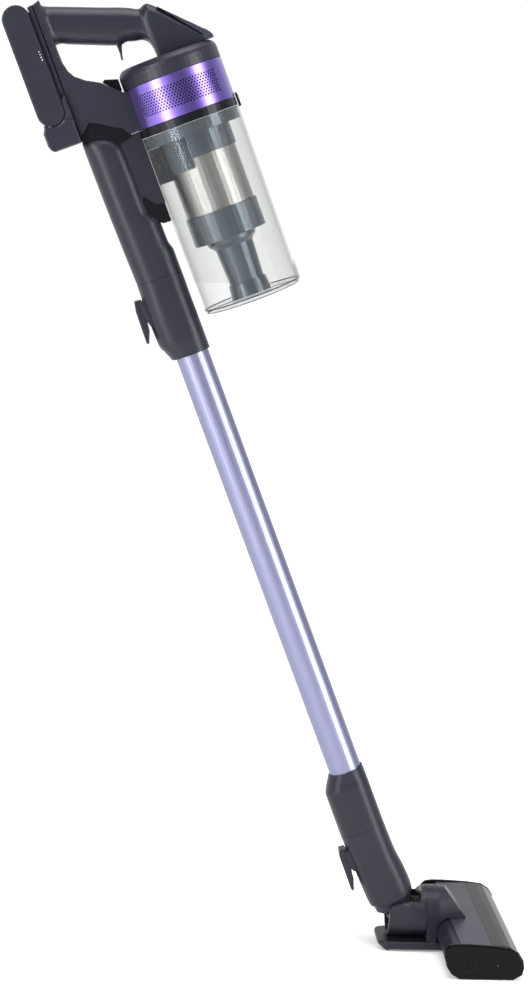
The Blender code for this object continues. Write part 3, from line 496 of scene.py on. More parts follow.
def loose_object(name, shape):
    """A worked shape becomes an object that isn't in the scene yet."""
    mesh = bpy.data.meshes.new(name)
    shape.to_mesh(mesh)
    shape.free()
    return bpy.data.objects.new(name, mesh)


def perforation():
    """One hole with its square of sheet, flat: x across, z up, y into the sheet."""
    shape = bmesh.new()
    w, h = PITCH / 2, ROW_PITCH / 2
    square = [(w, 0), (w, h), (0, h), (-w, h), (-w, 0), (-w, -h), (0, -h), (w, -h)]
    outer = [shape.verts.new((x, 0, z)) for x, z in square]
    rim = [shape.verts.new((point.x, 0, point.y)) for point in circle(HOLE_R, HOLE_SIDES)]
    deep = [shape.verts.new((v.co.x, SHEET, v.co.z)) for v in rim]
    for i in range(HOLE_SIDES):
        j = (i + 1) % HOLE_SIDES
        shape.faces.new((outer[i], outer[j], rim[j], rim[i]))
        shape.faces.new((rim[i], rim[j], deep[j], deep[i]))
    return loose_object("perforation", shape)


def band_skin():
    """The unpierced sheet: a ring with its edges turned in, less the two stamped windows."""
    shape = bmesh.new()
    half_pitch = PITCH / 2
    steps = 2 * COLUMNS + 1                       # half pitches across one window
    window = steps * half_pitch / MOTOR_R
    rest = (math.pi - window) / PLAIN_STEPS
    stops = []
    for middle in (0.0, math.pi):
        stops += [(middle - window / 2 + i * half_pitch / MOTOR_R, i) for i in range(steps)]
        stops += [(middle + window / 2 + i * rest, None) for i in range(PLAIN_STEPS)]
    rows = [HOLES_LOW + ROW_PITCH * i for i in range(ROWS + 1)]
    heights = [BAND_LOW + EDGE_TURN, *rows, BAND_TOP - EDGE_TURN]

    def corner(angle, height, radius=MOTOR_R):
        return shape.verts.new((radius * math.cos(angle), radius * math.sin(angle), height))

    foot, crown = (((MOTOR_R, level + inward * EDGE_TURN), (MOTOR_R - EDGE_TURN, level), (MOTOR_R - LIP, level))
                   for level, inward in ((BAND_LOW, 1), (BAND_TOP, -1)))
    for k, (angle, step) in enumerate(stops):
        after = stops[(k + 1) % len(stops)][0] + (2 * math.pi if k == len(stops) - 1 else 0)
        for row, (low, high) in enumerate(zip(heights, heights[1:])):
            inside = step is not None and 0 < row <= ROWS
            spare = 0 if row % 2 else steps - 1        # the half cell that a staggered row leaves
            if inside and step != spare:
                continue
            shape.faces.new((corner(angle, low), corner(after, low),
                             corner(after, high), corner(angle, high)))
        for edge in (foot, crown):
            for (r1, z1), (r2, z2) in zip(edge, edge[1:]):
                shape.faces.new((corner(angle, z1, r1), corner(after, z1, r1), corner(after, z2, r2),
                                 corner(angle, z2, r2)))
    bmesh.ops.remove_doubles(shape, verts=shape.verts, dist=2e-6)
    sheet = loose_object("exhaust_sheet", shape)
    stand(sheet)
    return sheet


def new_tree(name, sockets):
    """A Geometry Nodes tree with named inputs, its way in and its way out."""
    tree = bpy.data.node_groups.new(name, "GeometryNodeTree")
    tree.interface.new_socket("Geometry", in_out="INPUT", socket_type="NodeSocketGeometry")
    for label, kind in sockets:
        tree.interface.new_socket(label, in_out="INPUT", socket_type="NodeSocket" + kind)
    tree.interface.new_socket("Geometry", in_out="OUTPUT", socket_type="NodeSocketGeometry")
    return tree, tree.nodes.new("NodeGroupInput"), tree.nodes.new("NodeGroupOutput")


def maths(tree, operation, *values):
    return add(tree, "ShaderNodeMath", {"operation": operation}, dict(enumerate(values))).outputs[0]


def geo(tree, kind, **inputs):
    """The first output of one Geometry Nodes node."""
    return add(tree, "GeometryNode" + kind, {}, inputs).outputs[0]


def unit_of(tree, given):
    return add(tree, "GeometryNodeObjectInfo", {}, {"Object": given["Unit"]}).outputs["Geometry"]


def vector(tree, **parts):
    return add(tree, "ShaderNodeCombineXYZ", {}, parts).outputs[0]


def joined(tree, *parts):
    join = tree.nodes.new("GeometryNodeJoinGeometry")
    for part in parts:
        tree.links.new(part, join.inputs[0])
    return join.outputs[0]


def painted(tree, geometry, finish, result):
    """The last node of a tree gives the geometry its finish."""
    last = geo(tree, "SetMaterial", Geometry=geometry, Material=finish)
    tree.links.new(last, result.inputs[0])
    return tree


def bake_nodes(piece, tree, values):
    """Run the tree on a piece with these input values and keep the plain mesh that it makes."""
    modifier = piece.modifiers.new(tree.name, "NODES")
    modifier.node_group = tree
    for item in tree.interface.items_tree:
        if item.in_out == "INPUT" and item.name in values:
            modifier[item.identifier] = values[item.name]
    bpy.context.view_layer.update()
    graph = bpy.context.evaluated_depsgraph_get()
    mesh = bpy.data.meshes.new_from_object(piece.evaluated_get(graph))
    piece.modifiers.remove(modifier)
    bpy.data.objects.remove(piece)
    return mesh


def stamped_tree():
    """Staggered rows of one unit, wrapped onto a cylinder at a middle angle, joined to the geometry."""
    tree, given, result = new_tree("stamped_holes", (
        ("Unit", "Object"), ("Columns", "Int"), ("Rows", "Int"), ("Pitch", "Float"), ("Row Pitch", "Float"),
        ("Radius", "Float"), ("Low", "Float"), ("Middle", "Float"), ("Finish", "Material")))
    v = given.outputs
    index = geo(tree, "InputIndex")
    row = maths(tree, "FLOOR", maths(tree, "DIVIDE", index, v["Columns"]))
    column = maths(tree, "MODULO", index, v["Columns"])
    shift = maths(tree, "MULTIPLY", maths(tree, "MODULO", row, 2.0), -0.5)
    first = maths(tree, "MULTIPLY_ADD", v["Columns"], -0.5, 0.75)
    x = maths(tree, "MULTIPLY", maths(tree, "ADD", maths(tree, "ADD", column, shift), first), v["Pitch"])
    z = maths(tree, "MULTIPLY_ADD", maths(tree, "ADD", row, 0.5), v["Row Pitch"], v["Low"])
    spot = vector(tree, X=x, Z=z)
    count = maths(tree, "MULTIPLY", v["Columns"], v["Rows"])
    points = geo(tree, "Points", Count=count, Position=spot)
    unit = unit_of(tree, v)
    cells = geo(tree, "InstanceOnPoints", Points=points, Instance=unit)
    real = geo(tree, "RealizeInstances", Geometry=cells)
    flat = add(tree, "ShaderNodeSeparateXYZ", {}, {0: geo(tree, "InputPosition")}).outputs
    angle = maths(tree, "ADD", maths(tree, "DIVIDE", flat["X"], v["Radius"]), v["Middle"])
    radius = maths(tree, "SUBTRACT", v["Radius"], flat["Y"])
    wrapped = vector(tree, X=maths(tree, "MULTIPLY", radius, maths(tree, "COSINE", angle)),
                     Y=maths(tree, "MULTIPLY", radius, maths(tree, "SINE", angle)), Z=flat["Z"])
    bent = geo(tree, "SetPosition", Geometry=real, Position=wrapped)
    merged = geo(tree, "MergeByDistance", Geometry=joined(tree, v["Geometry"], bent), Distance=0.00002)
    return painted(tree, merged, v["Finish"], result)


def make_band():
    tree = stamped_tree()
    hole = perforation()
    piece = band_skin()
    for middle in (0.0, math.pi):
        mesh = bake_nodes(piece, tree, {
            "Unit": hole, "Columns": COLUMNS, "Rows": ROWS, "Pitch": PITCH, "Row Pitch": ROW_PITCH,
            "Radius": MOTOR_R, "Low": HOLES_LOW, "Middle": middle, "Finish": violet})
        piece = bpy.data.objects.new("exhaust_sheet", mesh)
        stand(piece)
    bpy.data.objects.remove(piece)
    bpy.data.objects.remove(hole)
    mesh.transform(BIN_AXIS)
    return link(mesh, "exhaust_band_stamped", violet)


def turned(name, profile, axis, material, count=64, closed=True):
    """Turn a closed (radius, along) profile about an axis given as a matrix whose +Z runs along it."""
    rings = [[axis @ point for point in circle(radius, count, along)] for radius, along in profile]
    return skin(name, rings, material, closed)


band = make_band()
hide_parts("exhaust_band")
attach(band, "hand_unit")
# Painted shade: a dark sleeve just inside the stamped band darkens what shows through its holes.
SHADE_OUT, SHADE_IN, SHADE_INSET = 0.0578, 0.0572, 0.0006
shade_low, shade_top = BAND_LOW + SHADE_INSET, BAND_TOP - SHADE_INSET
hole_shade = turned("band_liner", ((SHADE_OUT, shade_low), (SHADE_OUT, shade_top),
                              (SHADE_IN, shade_top), (SHADE_IN, shade_low)), BIN_AXIS, dark)
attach(hole_shade, "hand_unit")

pleats = Finish("pleated_filter", roughness=0.9)
around = pleats.place(tuple(on_stick(BIN_FWD, 0)), STICK_TURN)
pleats.set("Base Color", pleats.blend(pleats.noise(around, 240.0),
                                      (0.60, 0.60, 0.56), (0.82, 0.82, 0.78)))
pleats.bump(pleats.noise(around, 1500.0), 0.0002)
dress(pleats.material, "filter_ring")


# ---- Duct, bin rail and hook -----------------------------
# The suction duct runs down behind the bin as one slate moulding with a rail that the bin slides on,
# and ends in a nose that the wand plugs onto.  A black sprung hook sits under the rail.
SOCKET_R, NOSE_R, NOSE_BORE = 0.0199, 0.0194, 0.0165
DUCT_SEAM, NECK_SEAM, GAP = 0.8670, 0.1600, 0.0003
NOSE_LOW, BORE_FWD = 0.8330, -0.0080


def make_duct():
    """The outside as cuts up the stick: up, back, front, half width, rear and front corner radius."""
    outside = [(DUCT_SEAM, -0.0326, 0.0220, 0.0240, 0.0220, 0.0200),
               (0.8920, -0.0332, 0.0219, 0.0240, 0.0220, 0.0195), (0.9030, -0.0336, 0.0190, 0.0240, 0.0220, 0.0180),
               (0.9300, -0.0342, 0.0184, 0.0240, 0.0220, 0.0180), (0.9460, -0.0346, 0.0106, 0.0238, 0.0215, 0.0165),
               (1.0000, -0.0353, 0.0103, 0.0236, 0.0215, 0.0165), (1.0190, -0.0355, 0.0096, 0.0236, 0.0215, 0.0165),
               (1.0310, -0.0355, 0.0030, 0.0225, 0.0190, 0.0150),
               (1.0360, -0.0354, -0.0032, 0.0205, 0.0150, 0.0130),
               (1.0408, -0.0350, -0.0150, 0.0160, 0.0095, 0.0095),
               (1.0431, -0.0340, -0.0240, 0.0100, 0.0045, 0.0045)]
    bore = [round_slice(1.0200, 0.0100, BORE_FWD), round_slice(1.0000, NOSE_BORE, BORE_FWD),
            round_slice(NOSE_LOW, NOSE_BORE), round_slice(NOSE_LOW, NOSE_R), round_slice(DUCT_SEAM, NOSE_R)]
    return skin("duct_shell", bore + [level_slice(*cut) for cut in eased(outside)], slate)


RAIL = ((0.0060, 0.9560), (0.0108, 0.9610), (0.0150, 0.9555), (0.0200, 0.9490), (0.0225, 0.9475),
        (0.0250, 0.9466), (0.0350, 0.9462), (0.0350, 1.0322), (0.0060, 1.0322))
HOOK = ((0.0170, 0.9300), (0.0190, 0.9262), (0.0215, 0.9243), (0.0340, 0.9240), (0.0340, 0.9470),
        (0.0198, 0.9510), (0.0120, 0.9610), (0.0080, 0.9610), (0.0080, 0.9470))


def bin_room(name):
    """The bin's cylinder with its running clearance, as a cutter."""
    return turned(name, ((0.0603, 0.90), (0.0603, 1.06)), BIN_AXIS, dark, 96, closed=False)


duct = make_duct()
rail = carve(extrude("rail_shell", RAIL, 0.0165, slate), bin_room("rail_room"))
hook = carve(extrude("hook_shell", HOOK, 0.0125, dark), bin_room("hook_room"))
for piece, node, plastic in ((duct, "suction_duct", "slate_plastic"), (rail, "bin_rail", "slate_plastic"),
                             (hook, "bin_hook", "dark_plastic")):
    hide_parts(node)
    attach(piece, "hand_unit")


# ---- Clear bin with the cyclone inside -------------------
# A clear polycarbonate cylinder drops off the motor.  Inside hang a smoky grey cyclone, a stainless
# screen pierced with fine holes, a skirt and a dust tube.
def clear(name, tint, least, most, gloss, marks, shine):
    """Clear moulding: see-through face on, denser and shinier at its edges, with fine swirls of dust."""
    finish = Finish(name, roughness=gloss, base_color=(*tint, 1.0), specular_ior_level=shine)
    tree = finish.tree
    where = finish.place()
    dust = finish.noise(where, 60.0, 5.0, 0.7)
    facing = finish.node("LayerWeight", {}, {"Blend": 0.35}, out=1)
    finish.set("Roughness", gloss + dust * 0.02)
    finish.bump(finish.noise(where, 22.0, 1.0), 0.0003, 0.4)
    pane = add(tree, "ShaderNodeBsdfTransparent", {}, {"Color": (0.990, 0.994, 0.992, 1)})
    amount = facing ** 3.0 * (most - least) + least + dust * marks
    both = add(tree, "ShaderNodeMixShader", {}, {0: amount, 1: pane.outputs[0], 2: finish.shader.outputs[0]})
    tree.links.new(both.outputs[0], tree.nodes["Material Output"].inputs["Surface"])
    return finish.material


clear_bin = clear("clear_polycarbonate", (0.15, 0.16, 0.16), 0.06, 0.85, gloss=0.04, marks=0.02, shine=0.5)
dress(clear_bin, "clear_bin", "bin_lid", "lid_latch")
smoke = moulded("cyclone_smoke", (0.058, 0.069, 0.082), 0.27, wear=0.15, metallic=0.5, specular_ior_level=0.3)
smoke_dark = moulded("inlet_dark", (0.006, 0.007, 0.010), 0.25, wear=0.15, specular_ior_level=0.3)
dress(smoke, "bin_collar", "cyclone_shroud", "cyclone_core", "cyclone_skirt", "dust_tube", "dust_foot")
dress(smoke_dark, "cyclone_inlet")

# The inlet scroll is kept inside one cylinder and cut back from the shroud's.  Radii, then along the bin.
INLET = ((0.0500, 0.9745), (0.0540, 0.9720), (0.0760, 0.9720), (0.0775, 0.9760), (0.0775, 1.0082),
         (0.0500, 1.0082))
SCROLL_OUT, SCROLL_IN = ((0.0468, 0.95), (0.0468, 1.03)), ((0.0412, 0.94), (0.0412, 1.04))
SEAL = ((0.0579, 0.8116), (0.0584, 0.8116), (0.0586, 0.8121), (0.0584, 0.8127), (0.0579, 0.8127))
BEAD = ((0.0555, 0.8072), (0.0567, 0.8078), (0.0572, 0.8084), (0.0560, 0.8082))
scroll = extrude("inlet_scroll", INLET, 0.0420, smoke, edge=0.0012)
scroll_room = turned("scroll_room", SCROLL_OUT, BIN_AXIS, smoke, 96, closed=False)
keep = scroll.modifiers.new("round", "BOOLEAN")
keep.operation, keep.solver, keep.object = "INTERSECT", "EXACT", scroll_room
scroll = carve(scroll, turned("scroll_core", SCROLL_IN, BIN_AXIS, smoke, 96, closed=False))
bpy.data.objects.remove(scroll_room)
for piece, body, finish in ((scroll, "bin", "cyclone_grey"),
                            (turned("bin_seal", SEAL, BIN_AXIS, dark), "bin_lid", "black_rubber"),
                            (turned("lid_bead", BEAD, BIN_AXIS, smoke), "bin_lid", "cyclone_grey")):
    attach(piece, body)

SCREEN_R, HOLE_WAVE = 0.041, 7600.0
screen = Finish("pierced_steel", metallic=1.0)
flat = screen.place(tuple(on_stick(BIN_FWD, 0)), STICK_TURN)
split = add(screen.tree, "ShaderNodeSeparateXYZ", {}, {0: flat.socket})
sx, sy, sz = (Wire(screen, split.outputs[k]) for k in range(3))
round_it = sx.maths("ARCTAN2", sy, sx) * SCREEN_R
dots = sx.maths("SINE", round_it * HOLE_WAVE) * sx.maths("SINE", sz * HOLE_WAVE)
tone = screen.noise(flat, 30.0)
screen.set("Base Color", screen.blend(dots * 0.25 + tone * 0.15,
                                      (0.26, 0.256, 0.245), (0.50, 0.49, 0.475)))
screen.set("Roughness", 0.33 + tone * 0.03)
screen.bump(dots, 0.00002)
dress(screen.material, "mesh_screen")


# ---- Wand, collars and release levers --------------------
# An anodised aluminium tube between two moulded collars; each collar's plug is held by a sprung lever
# on its rear face.
lavender = anodised("lavender_anodised", (0.21, 0.215, 0.335), (0.27, 0.275, 0.405), 0.34)
dress(slate, "upper_lever", "lower_lever")
dress(lavender, "wand_tube")


def make_upper_collar():
    top, rim = DUCT_SEAM - GAP, 0.7710
    outside = [(rim, -0.0246, 0.0223, 0.0226, 0.0215, 0.0210), (0.7800, -0.0281, 0.0223, 0.0232, 0.0215, 0.0205),
               (0.7930, -0.0333, 0.0223, 0.0240, 0.0220, 0.0200), (0.8140, -0.0339, 0.0222, 0.0242, 0.0222, 0.0200),
               (top, -0.0326, 0.0221, 0.0240, 0.0220, 0.0200)]
    inside = [round_slice(top, SOCKET_R), round_slice(rim, SOCKET_R)]
    return skin("upper_collar_shell", [level_slice(*cut) for cut in eased(outside)] + inside, slate, True)


def make_lower_collar():
    top, ledge, lip = 0.2350, 0.1994, 0.1280
    outside = [(NECK_SEAM, -0.0331, 0.0217, 0.0240, 0.0220, 0.0200),
               (0.2130, -0.0328, 0.0217, 0.0232, 0.0216, 0.0200), (0.2230, -0.0288, 0.0216, 0.0222, 0.0212, 0.0205),
               (top, -0.0216, 0.0213, 0.0214, 0.0207, 0.0207)]
    inside = [round_slice(top, SOCKET_R), round_slice(ledge, SOCKET_R), round_slice(ledge, NOSE_BORE),
              round_slice(lip, NOSE_BORE), round_slice(lip, NOSE_R), round_slice(NECK_SEAM, NOSE_R)]
    return skin("lower_collar_shell", [level_slice(*cut) for cut in eased(outside)] + inside, slate, True)


UPPER_SEAT = ((-0.0220, 0.8160), (-0.0340, 0.8170), (-0.0366, 0.8260), (-0.0372, 0.8330), (-0.0376, 0.8480),
              (-0.0220, 0.8500))
seat = extrude("upper_lever_seat", UPPER_SEAT, 0.0120, slate, edge=0.0010)
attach(seat, "wand")
for collar, node in ((make_upper_collar(), "upper_collar"), (make_lower_collar(), "lower_collar")):
    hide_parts(node)
    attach(collar, "wand")


# ---- Pitching neck ---------------------------------------
# The neck is a slate moulding with a socket for the wand and two lugs that pitch on the yoke's pins.
LUG_R, LUG_HALF, LUG_ACROSS = 0.0080, 0.0021, 0.0214
PITCH_AXIS = on_floor(-0.0200, 0.0470)
NECK_SEAT = ((-0.0200, 0.1130), (-0.0330, 0.1140), (-0.0350, 0.1200), (-0.0360, 0.1260), (-0.0364, 0.1400),
             (-0.0200, 0.1420))


def make_neck():
    top = NECK_SEAM - GAP
    outside = [(0.0550, -0.0240, 0.0190, 0.0240, 0.0200, 0.0180), (0.0640, -0.0258, 0.0240, 0.0248, 0.0200, 0.0225),
               (0.0660, -0.0285, 0.0258, 0.0250, 0.0200, 0.0230), (0.0750, -0.0296, 0.0272, 0.0250, 0.0200, 0.0230),
               (0.0920, -0.0306, 0.0264, 0.0248, 0.0210, 0.0225), (0.1230, -0.0318, 0.0227, 0.0243, 0.0220, 0.0205),
               (top, -0.0331, 0.0217, 0.0240, 0.0220, 0.0200)]
    inside = [round_slice(top, SOCKET_R), round_slice(0.1260, SOCKET_R),
              level_slice(0.1240, -0.0205, 0.0205, 0.0205, 0.0200, 0.0200),
              level_slice(0.0900, -0.0235, 0.0200, 0.0210, 0.0190, 0.0180),
              level_slice(0.0550, -0.0213, 0.0165, 0.0205, 0.0180, 0.0160)]
    shell = skin("neck_shell", [level_slice(*cut) for cut in eased(outside)] + inside, slate, True)
    notch = extrude("neck_notch", ((0.0040, 0.0400), (0.0300, 0.0400), (0.0300, 0.0605), (0.0040, 0.0605)),
                    0.0125, slate)
    return carve(shell, notch)


def make_lug(side, end):
    spot = STICK.inverted() @ PITCH_AXIS
    forward, up = -spot.y, spot.z
    rim = [(forward + LUG_R * math.cos(a), up + LUG_R * math.sin(a))
           for a in (math.radians(180 + 15 * i) for i in range(13))]
    root = 0.0700                # the lug's top, inside the neck
    outline = rim + [(forward + LUG_R, root), (forward - LUG_R, root)]
    return extrude(f"neck_lug_{end}", outline, LUG_HALF, slate, side * LUG_ACROSS, 0.0005)


neck = make_neck()
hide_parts("neck")
for piece in (neck, make_lug(-1, "near"), make_lug(1, "far"),
              extrude("lower_lever_seat", NECK_SEAT, 0.0120, slate, edge=0.0010)):
    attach(piece, "neck")


# ---- Ribbed air hose -------------------------------------
# Black ribbed hose carries the air through the pitch joint.  It leaves the neck straight and turns
# forward in the yoke, in one fixed bend set by the stick's lean.
HOSE_R, RIB_DEPTH, RIB_PITCH, RIB_SHARP = 0.0168, 0.0022, 0.0040, 1.6
HOSE_FWD, YOKE_UP = -0.0028, 0.0440
rubber = moulded("black_rubber", (0.006, 0.006, 0.007), 0.55, grain=0.00006, wear=0.4)


def hose_route():
    """Straight down the neck, one smooth bend, then forward into the yoke."""
    start, bend = on_stick(HOSE_FWD, 0.1150), on_stick(HOSE_FWD, 0.0570)
    last, end = on_floor(0.0010, YOKE_UP), on_floor(0.0120, YOKE_UP)
    knee = Vector((0, bend.y - (bend.z - end.z) * math.tan(LEAN), end.z))
    route = [start.lerp(bend, i / 60) for i in range(60)]
    for i in range(71):
        t = i / 70
        route.append((1 - t) ** 2 * bend + 2 * t * (1 - t) * knee + t * t * last)
    return route + [last.lerp(end, i / 20) for i in range(1, 21)]


def make_hose():
    route, side = hose_route(), Vector((1, 0, 0))
    rings, run = [], 0.0
    for k, point in enumerate(route):
        before, after = route[max(0, k - 1)], route[min(len(route) - 1, k + 1)]
        along = (after - before).normalized()
        other = along.cross(side)
        if k:
            run += (point - route[k - 1]).length
        radius = HOSE_R - RIB_DEPTH * (0.5 - 0.5 * math.cos(2 * math.pi * run / RIB_PITCH)) ** RIB_SHARP
        rings.append([point + spoke.x * side + spoke.y * other for spoke in circle(radius, 36)])
    return skin("ribbed_air_hose", rings, rubber, smooth=60)


hose = make_hose()
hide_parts("ribbed_hose")
tuple(on_stick(HOSE_FWD, 0.0650))
tuple(on_floor(-0.0040, YOKE_UP))
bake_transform(hose)


# ---- Yoke and swivel -------------------------------------
# A barrel with two cheeks.  Steel pins through the cheeks carry the neck.
pin_steel = anodised("pin_steel", (0.45, 0.45, 0.46), (0.65, 0.65, 0.66), 0.22)
dress(slate, "yoke")
dress(pin_steel, "pitch_pin_near", "pitch_pin_far", "trigger_pin", "motor_can")


# ---- Floor head ------------------------------------------
# A moulded housing with a lighter top plate, a smoked window over the roller, glossy dark end caps
# and a tray behind for the rear wheels.
SWIVEL_SEAM, COVER_LOW, COVER_TOP, DECK = 0.0163, 0.0125, 0.0745, 0.0416


def make_cover():
    """A barrel top that narrows to a tip over the housing, with a fillet down to the deck."""
    barrel = [(SWIVEL_SEAM, COVER_LOW, COVER_TOP, 0.0310, 0.0004, 0.0306),
              (0.0284, COVER_LOW, COVER_TOP - 0.0002, 0.0300, 0.0004, 0.0296)]
    nose = [(0.0288, 0.0292, COVER_TOP - 0.0002, 0.0300, 0.0004, 0.0296),
            (0.0316, 0.0352, 0.0741, 0.0294, 0.0004, 0.0285),
            (0.0366, 0.0396, 0.0738, 0.0284, 0.0004, 0.0280), (0.0400, DECK, 0.0736, 0.0276, 0.0004, 0.0272),
            (0.0520, DECK, 0.0730, 0.0248, 0.0004, 0.0244), (0.0640, DECK, 0.0724, 0.0216, 0.0002, 0.0212)]
    rings = [[on_floor(cut[0], along, across) for across, along in rounded(*cut[1:])]
             for cut in eased(barrel, 2) + eased(nose, 3)]
    slope = ((0.0390, 0.0738), (0.0405, 0.0722), (0.0642, 0.0422), (0.0700, 0.0422), (0.0700, 0.0900),
             (0.0390, 0.0900))
    return carve(skin("cover_shell", rings, slate, smooth=50),
                 extrude("slope_cut", slope, 0.0500, slate, where=on_floor))


cover = make_cover()
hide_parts("head_cover")
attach(cover, "floor_head")
dress(slate, "base_plate", "roller_housing")
dress(plate_grey, "top_plate")
cap_dark = moulded("cap_gloss", (0.0026, 0.0033, 0.0033), 0.22, wear=0.12, specular_ior_level=0.10)
dress(cap_dark, "end_cap_near", "end_cap_far")
smoked = clear("smoked_window", (0.008, 0.010, 0.008), 0.84, 0.96, gloss=0.14, marks=0.05, shine=0.18)
dress(smoked, "window")

nap = Finish("roller_pile", roughness=0.95)
pile = nap.place()
nap.set("Base Color", nap.blend(nap.noise(pile, 420.0, 4.0),
                                (0.018, 0.017, 0.022), (0.050, 0.047, 0.056)))
nap.bump(nap.noise(pile, 1400.0, 3.0, 0.7), 0.0006)
dress(dark, "roller_core")
ROLLER_FWD, ROLLER_UP, ROLLER_R, ROLLER_BORE, ROLLER_HALF = 0.0960, 0.0192, 0.0187, 0.0123, 0.1134
TUFT_HIGH, TUFT_FOOT, TUFT_TIP, TUFT_LEAN, TUFT_SWAY = 0.0024, 0.0011, 0.0005, 0.0003, 0.05
TUFTS, TUFT_ROWS, TUFT_TWIST, TUFT_SEED = 1500, 10, 12.0, 7


def tuft():
    """One bunch of pile: a six-sided spike that leans a little."""
    shape = bmesh.new()
    foot = [shape.verts.new(point) for point in circle(TUFT_FOOT, 6)]
    tip = [shape.verts.new(point + Vector((TUFT_LEAN, 0, 0))) for point in circle(TUFT_TIP, 6, TUFT_HIGH)]
    for i in range(6):
        shape.faces.new((foot[i], foot[(i + 1) % 6], tip[(i + 1) % 6], tip[i]))
    shape.faces.new(tip)
    shape.faces.new(foot[::-1])
    return loose_object("tuft", shape)


def pile_tree():
    """Tufts in spiral rows along a roller whose axis is X."""
    tree, given, result = new_tree("spiral_pile", (
        ("Unit", "Object"), ("Count", "Int"), ("Rows", "Int"), ("Twist", "Float"), ("Half Length", "Float"),
        ("Radius", "Float"), ("Seed", "Int"), ("Finish", "Material")))
    v = given.outputs
    index = geo(tree, "InputIndex")
    share = maths(tree, "DIVIDE", maths(tree, "ADD", index, 0.5), v["Count"])
    x = maths(tree, "MULTIPLY", maths(tree, "MULTIPLY_ADD", share, 2.0, -1.0), v["Half Length"])
    row = maths(tree, "DIVIDE", maths(tree, "MODULO", index, v["Rows"]), v["Rows"])
    loose = add(tree, "FunctionNodeRandomValue", {"data_type": "FLOAT"},
                {"Min": -TUFT_SWAY, "Max": TUFT_SWAY, "Seed": v["Seed"]})
    jitter = next(out for out in loose.outputs if out.enabled)
    swing = maths(tree, "MULTIPLY", maths(tree, "ABSOLUTE", x), v["Twist"])
    angle = maths(tree, "ADD", maths(tree, "MULTIPLY_ADD", row, 2 * math.pi, jitter), swing)
    back = maths(tree, "MULTIPLY", maths(tree, "SINE", angle), -1.0)
    spot = vector(tree, X=x, Y=maths(tree, "MULTIPLY", v["Radius"], back),
                  Z=maths(tree, "MULTIPLY", v["Radius"], maths(tree, "COSINE", angle)))
    turn = vector(tree, X=angle)
    points = geo(tree, "Points", Count=v["Count"], Position=spot)
    unit = unit_of(tree, v)
    tufts = geo(tree, "InstanceOnPoints", Points=points, Instance=unit, Rotation=turn)
    real = geo(tree, "RealizeInstances", Geometry=tufts)
    return painted(tree, joined(tree, v["Geometry"], real), v["Finish"], result)


def make_roller():
    """The sleeve and its tufts are made about the X axis, then carried to the roller's place."""
    across = Matrix.Rotation(math.radians(90), 4, "Y")
    base = ROLLER_R - 0.0022
    profile = ((ROLLER_BORE, -ROLLER_HALF), (base, -ROLLER_HALF), (base, ROLLER_HALF), (ROLLER_BORE, ROLLER_HALF))
    sleeve = turned("pile_sleeve", profile, across, nap.material, 40)
    unit = tuft()
    mesh = bake_nodes(sleeve, pile_tree(), {
        "Unit": unit, "Count": TUFTS, "Rows": TUFT_ROWS, "Twist": TUFT_TWIST, "Seed": TUFT_SEED,
        "Half Length": ROLLER_HALF - 0.0015, "Radius": base - 0.0002, "Finish": nap.material})
    bpy.data.objects.remove(unit)
    mesh.transform(Matrix.Translation(on_floor(ROLLER_FWD, ROLLER_UP)))
    return link(mesh, "roller_brush", nap.material)


roller = make_roller()
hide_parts("roller_nap")
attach(roller, "roller")
dress(rubber, "rear_wheel_near", "rear_wheel_far", "front_wheel_near", "front_wheel_far")


# ---- Small fittings of the floor head --------------------
# An oval release stud and a moulding spot on each end cap, and five recessed screws under the head.
STUD, SPOT, CAP_FACE = (0.0570, 0.0160), (0.0890, 0.0185), 0.1250
STUD_LONG, STUD_TALL = 0.0082, 0.0068
STUD_RINGS = ((1.0, -0.0010), (1.0, 0.0003), (0.93, 0.0005), (0.90, 0.0000), (0.2, -0.0001))    # share, out
for side, end in ((-1, "near"), (1, "far")):
    middle = on_floor(*STUD, side * (CAP_FACE - 0.0002))
    rings = [[middle + Vector((side * out, STUD_LONG * p.x, STUD_TALL * p.y)) for p in circle(share, 40)]
             for share, out in STUD_RINGS]
    stud = skin(f"cap_stud_{end}", rings, dark)
    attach(stud, "floor_head")
    spot = disc_stack(f"cap_spot_{end}", on_floor(*SPOT, side * CAP_FACE), (side, 0, 0),
                      ((0.0012, -0.0004), (0.0012, 0.0001), (0.0008, 0.0002)), plate_grey, 16)
    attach(spot, "floor_head")


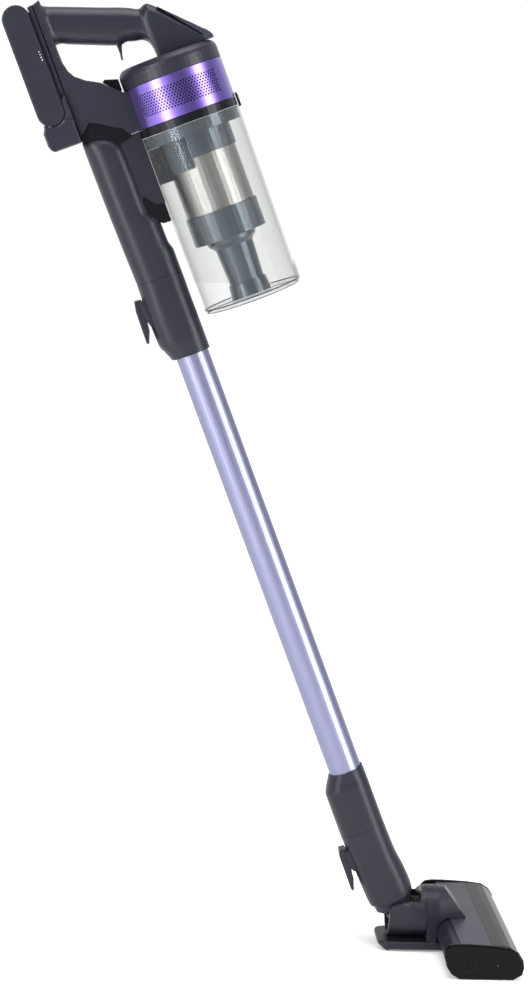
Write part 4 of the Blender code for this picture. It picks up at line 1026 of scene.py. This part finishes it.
def screw_head():
    """A small pan head with a cross cut, made as a star of four arms."""
    shape = bmesh.new()
    arm, core, face = 0.0012, 0.0004, 0.0009
    rims = [[shape.verts.new(point) for point in circle(radius, 16, height)]
            for radius, height in ((0.0024, -0.0004), (0.0024, 0.0006), (0.0018, face))]
    cross = []
    for i in range(16):
        reach, angle = arm if i % 4 in (0, 1) else core, math.radians(22.5 * i - 11.25)
        cross.append(shape.verts.new((reach * math.cos(angle), reach * math.sin(angle), face)))
    deep = [shape.verts.new((v.co.x * 0.9, v.co.y * 0.9, 0.0002)) for v in cross]
    rows = rims + [cross, deep]
    for low, high in zip(rows, rows[1:]):
        for i in range(16):
            j = (i + 1) % 16
            shape.faces.new((low[i], low[j], high[j], high[i]))
    shape.faces.new(deep)
    shape.faces.new(rims[0][::-1])
    return loose_object("screw_head", shape)


def fixing_tree():
    """One unit at every point of the geometry, turned to face down."""
    tree, given, result = new_tree("fixings", (("Unit", "Object"), ("Size", "Float"), ("Finish", "Material")))
    v = given.outputs
    unit = unit_of(tree, v)
    size = vector(tree, X=v["Size"], Y=v["Size"], Z=v["Size"])
    heads = geo(tree, "InstanceOnPoints", Points=v["Geometry"], Instance=unit, Rotation=(math.pi, 0, 0), Scale=size)
    return painted(tree, geo(tree, "RealizeInstances", Geometry=heads), v["Finish"], result)


# forward, across, and up of the face that each sits in
SCREWS = ((-0.0300, 0.0, 0.0030), (0.0200, -0.0200, 0.0030), (0.0200, 0.0200, 0.0030),
          (0.0520, -0.1060, 0.0012), (0.0520, 0.1060, 0.0012))
marks_mesh = bpy.data.meshes.new("screw_marks")
marks_mesh.from_pydata([on_floor(f, up + 0.0006, across) for f, across, up in SCREWS], [], [])
marks = bpy.data.objects.new("screw_marks", marks_mesh)
stand(marks)
head = screw_head()
screw_mesh = bake_nodes(marks, fixing_tree(), {"Unit": head, "Size": 1.0, "Finish": pin_steel})
screws = link(screw_mesh, "head_screws", pin_steel)
bpy.data.objects.remove(head)
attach(screws, "floor_head")


# ---- Floor finish ----------------------------------------
# The floor is a plain pale sheet, a little brighter far off, so that it meets the white surround.
sheet = Finish("pale_floor", roughness=0.9, emission_strength=1.0)
away = sheet.node("VectorMath", {"operation": "LENGTH"}, {0: sheet.place(tuple(FOOT))}, out=1)
glow = sheet.node("MapRange", {}, {0: away, 1: 0.5, 2: 3.5, 3: 0.22, 4: 0.80})
sheet.set("Emission Color", sheet.blend(glow, (0, 0, 0), (1, 1, 1)))
sheet.set("Base Color", sheet.blend(sheet.noise(sheet.place(), 2.0),
                                    (0.93, 0.93, 0.93), (0.95, 0.95, 0.95)))
floor_mesh.materials.append(sheet.material)
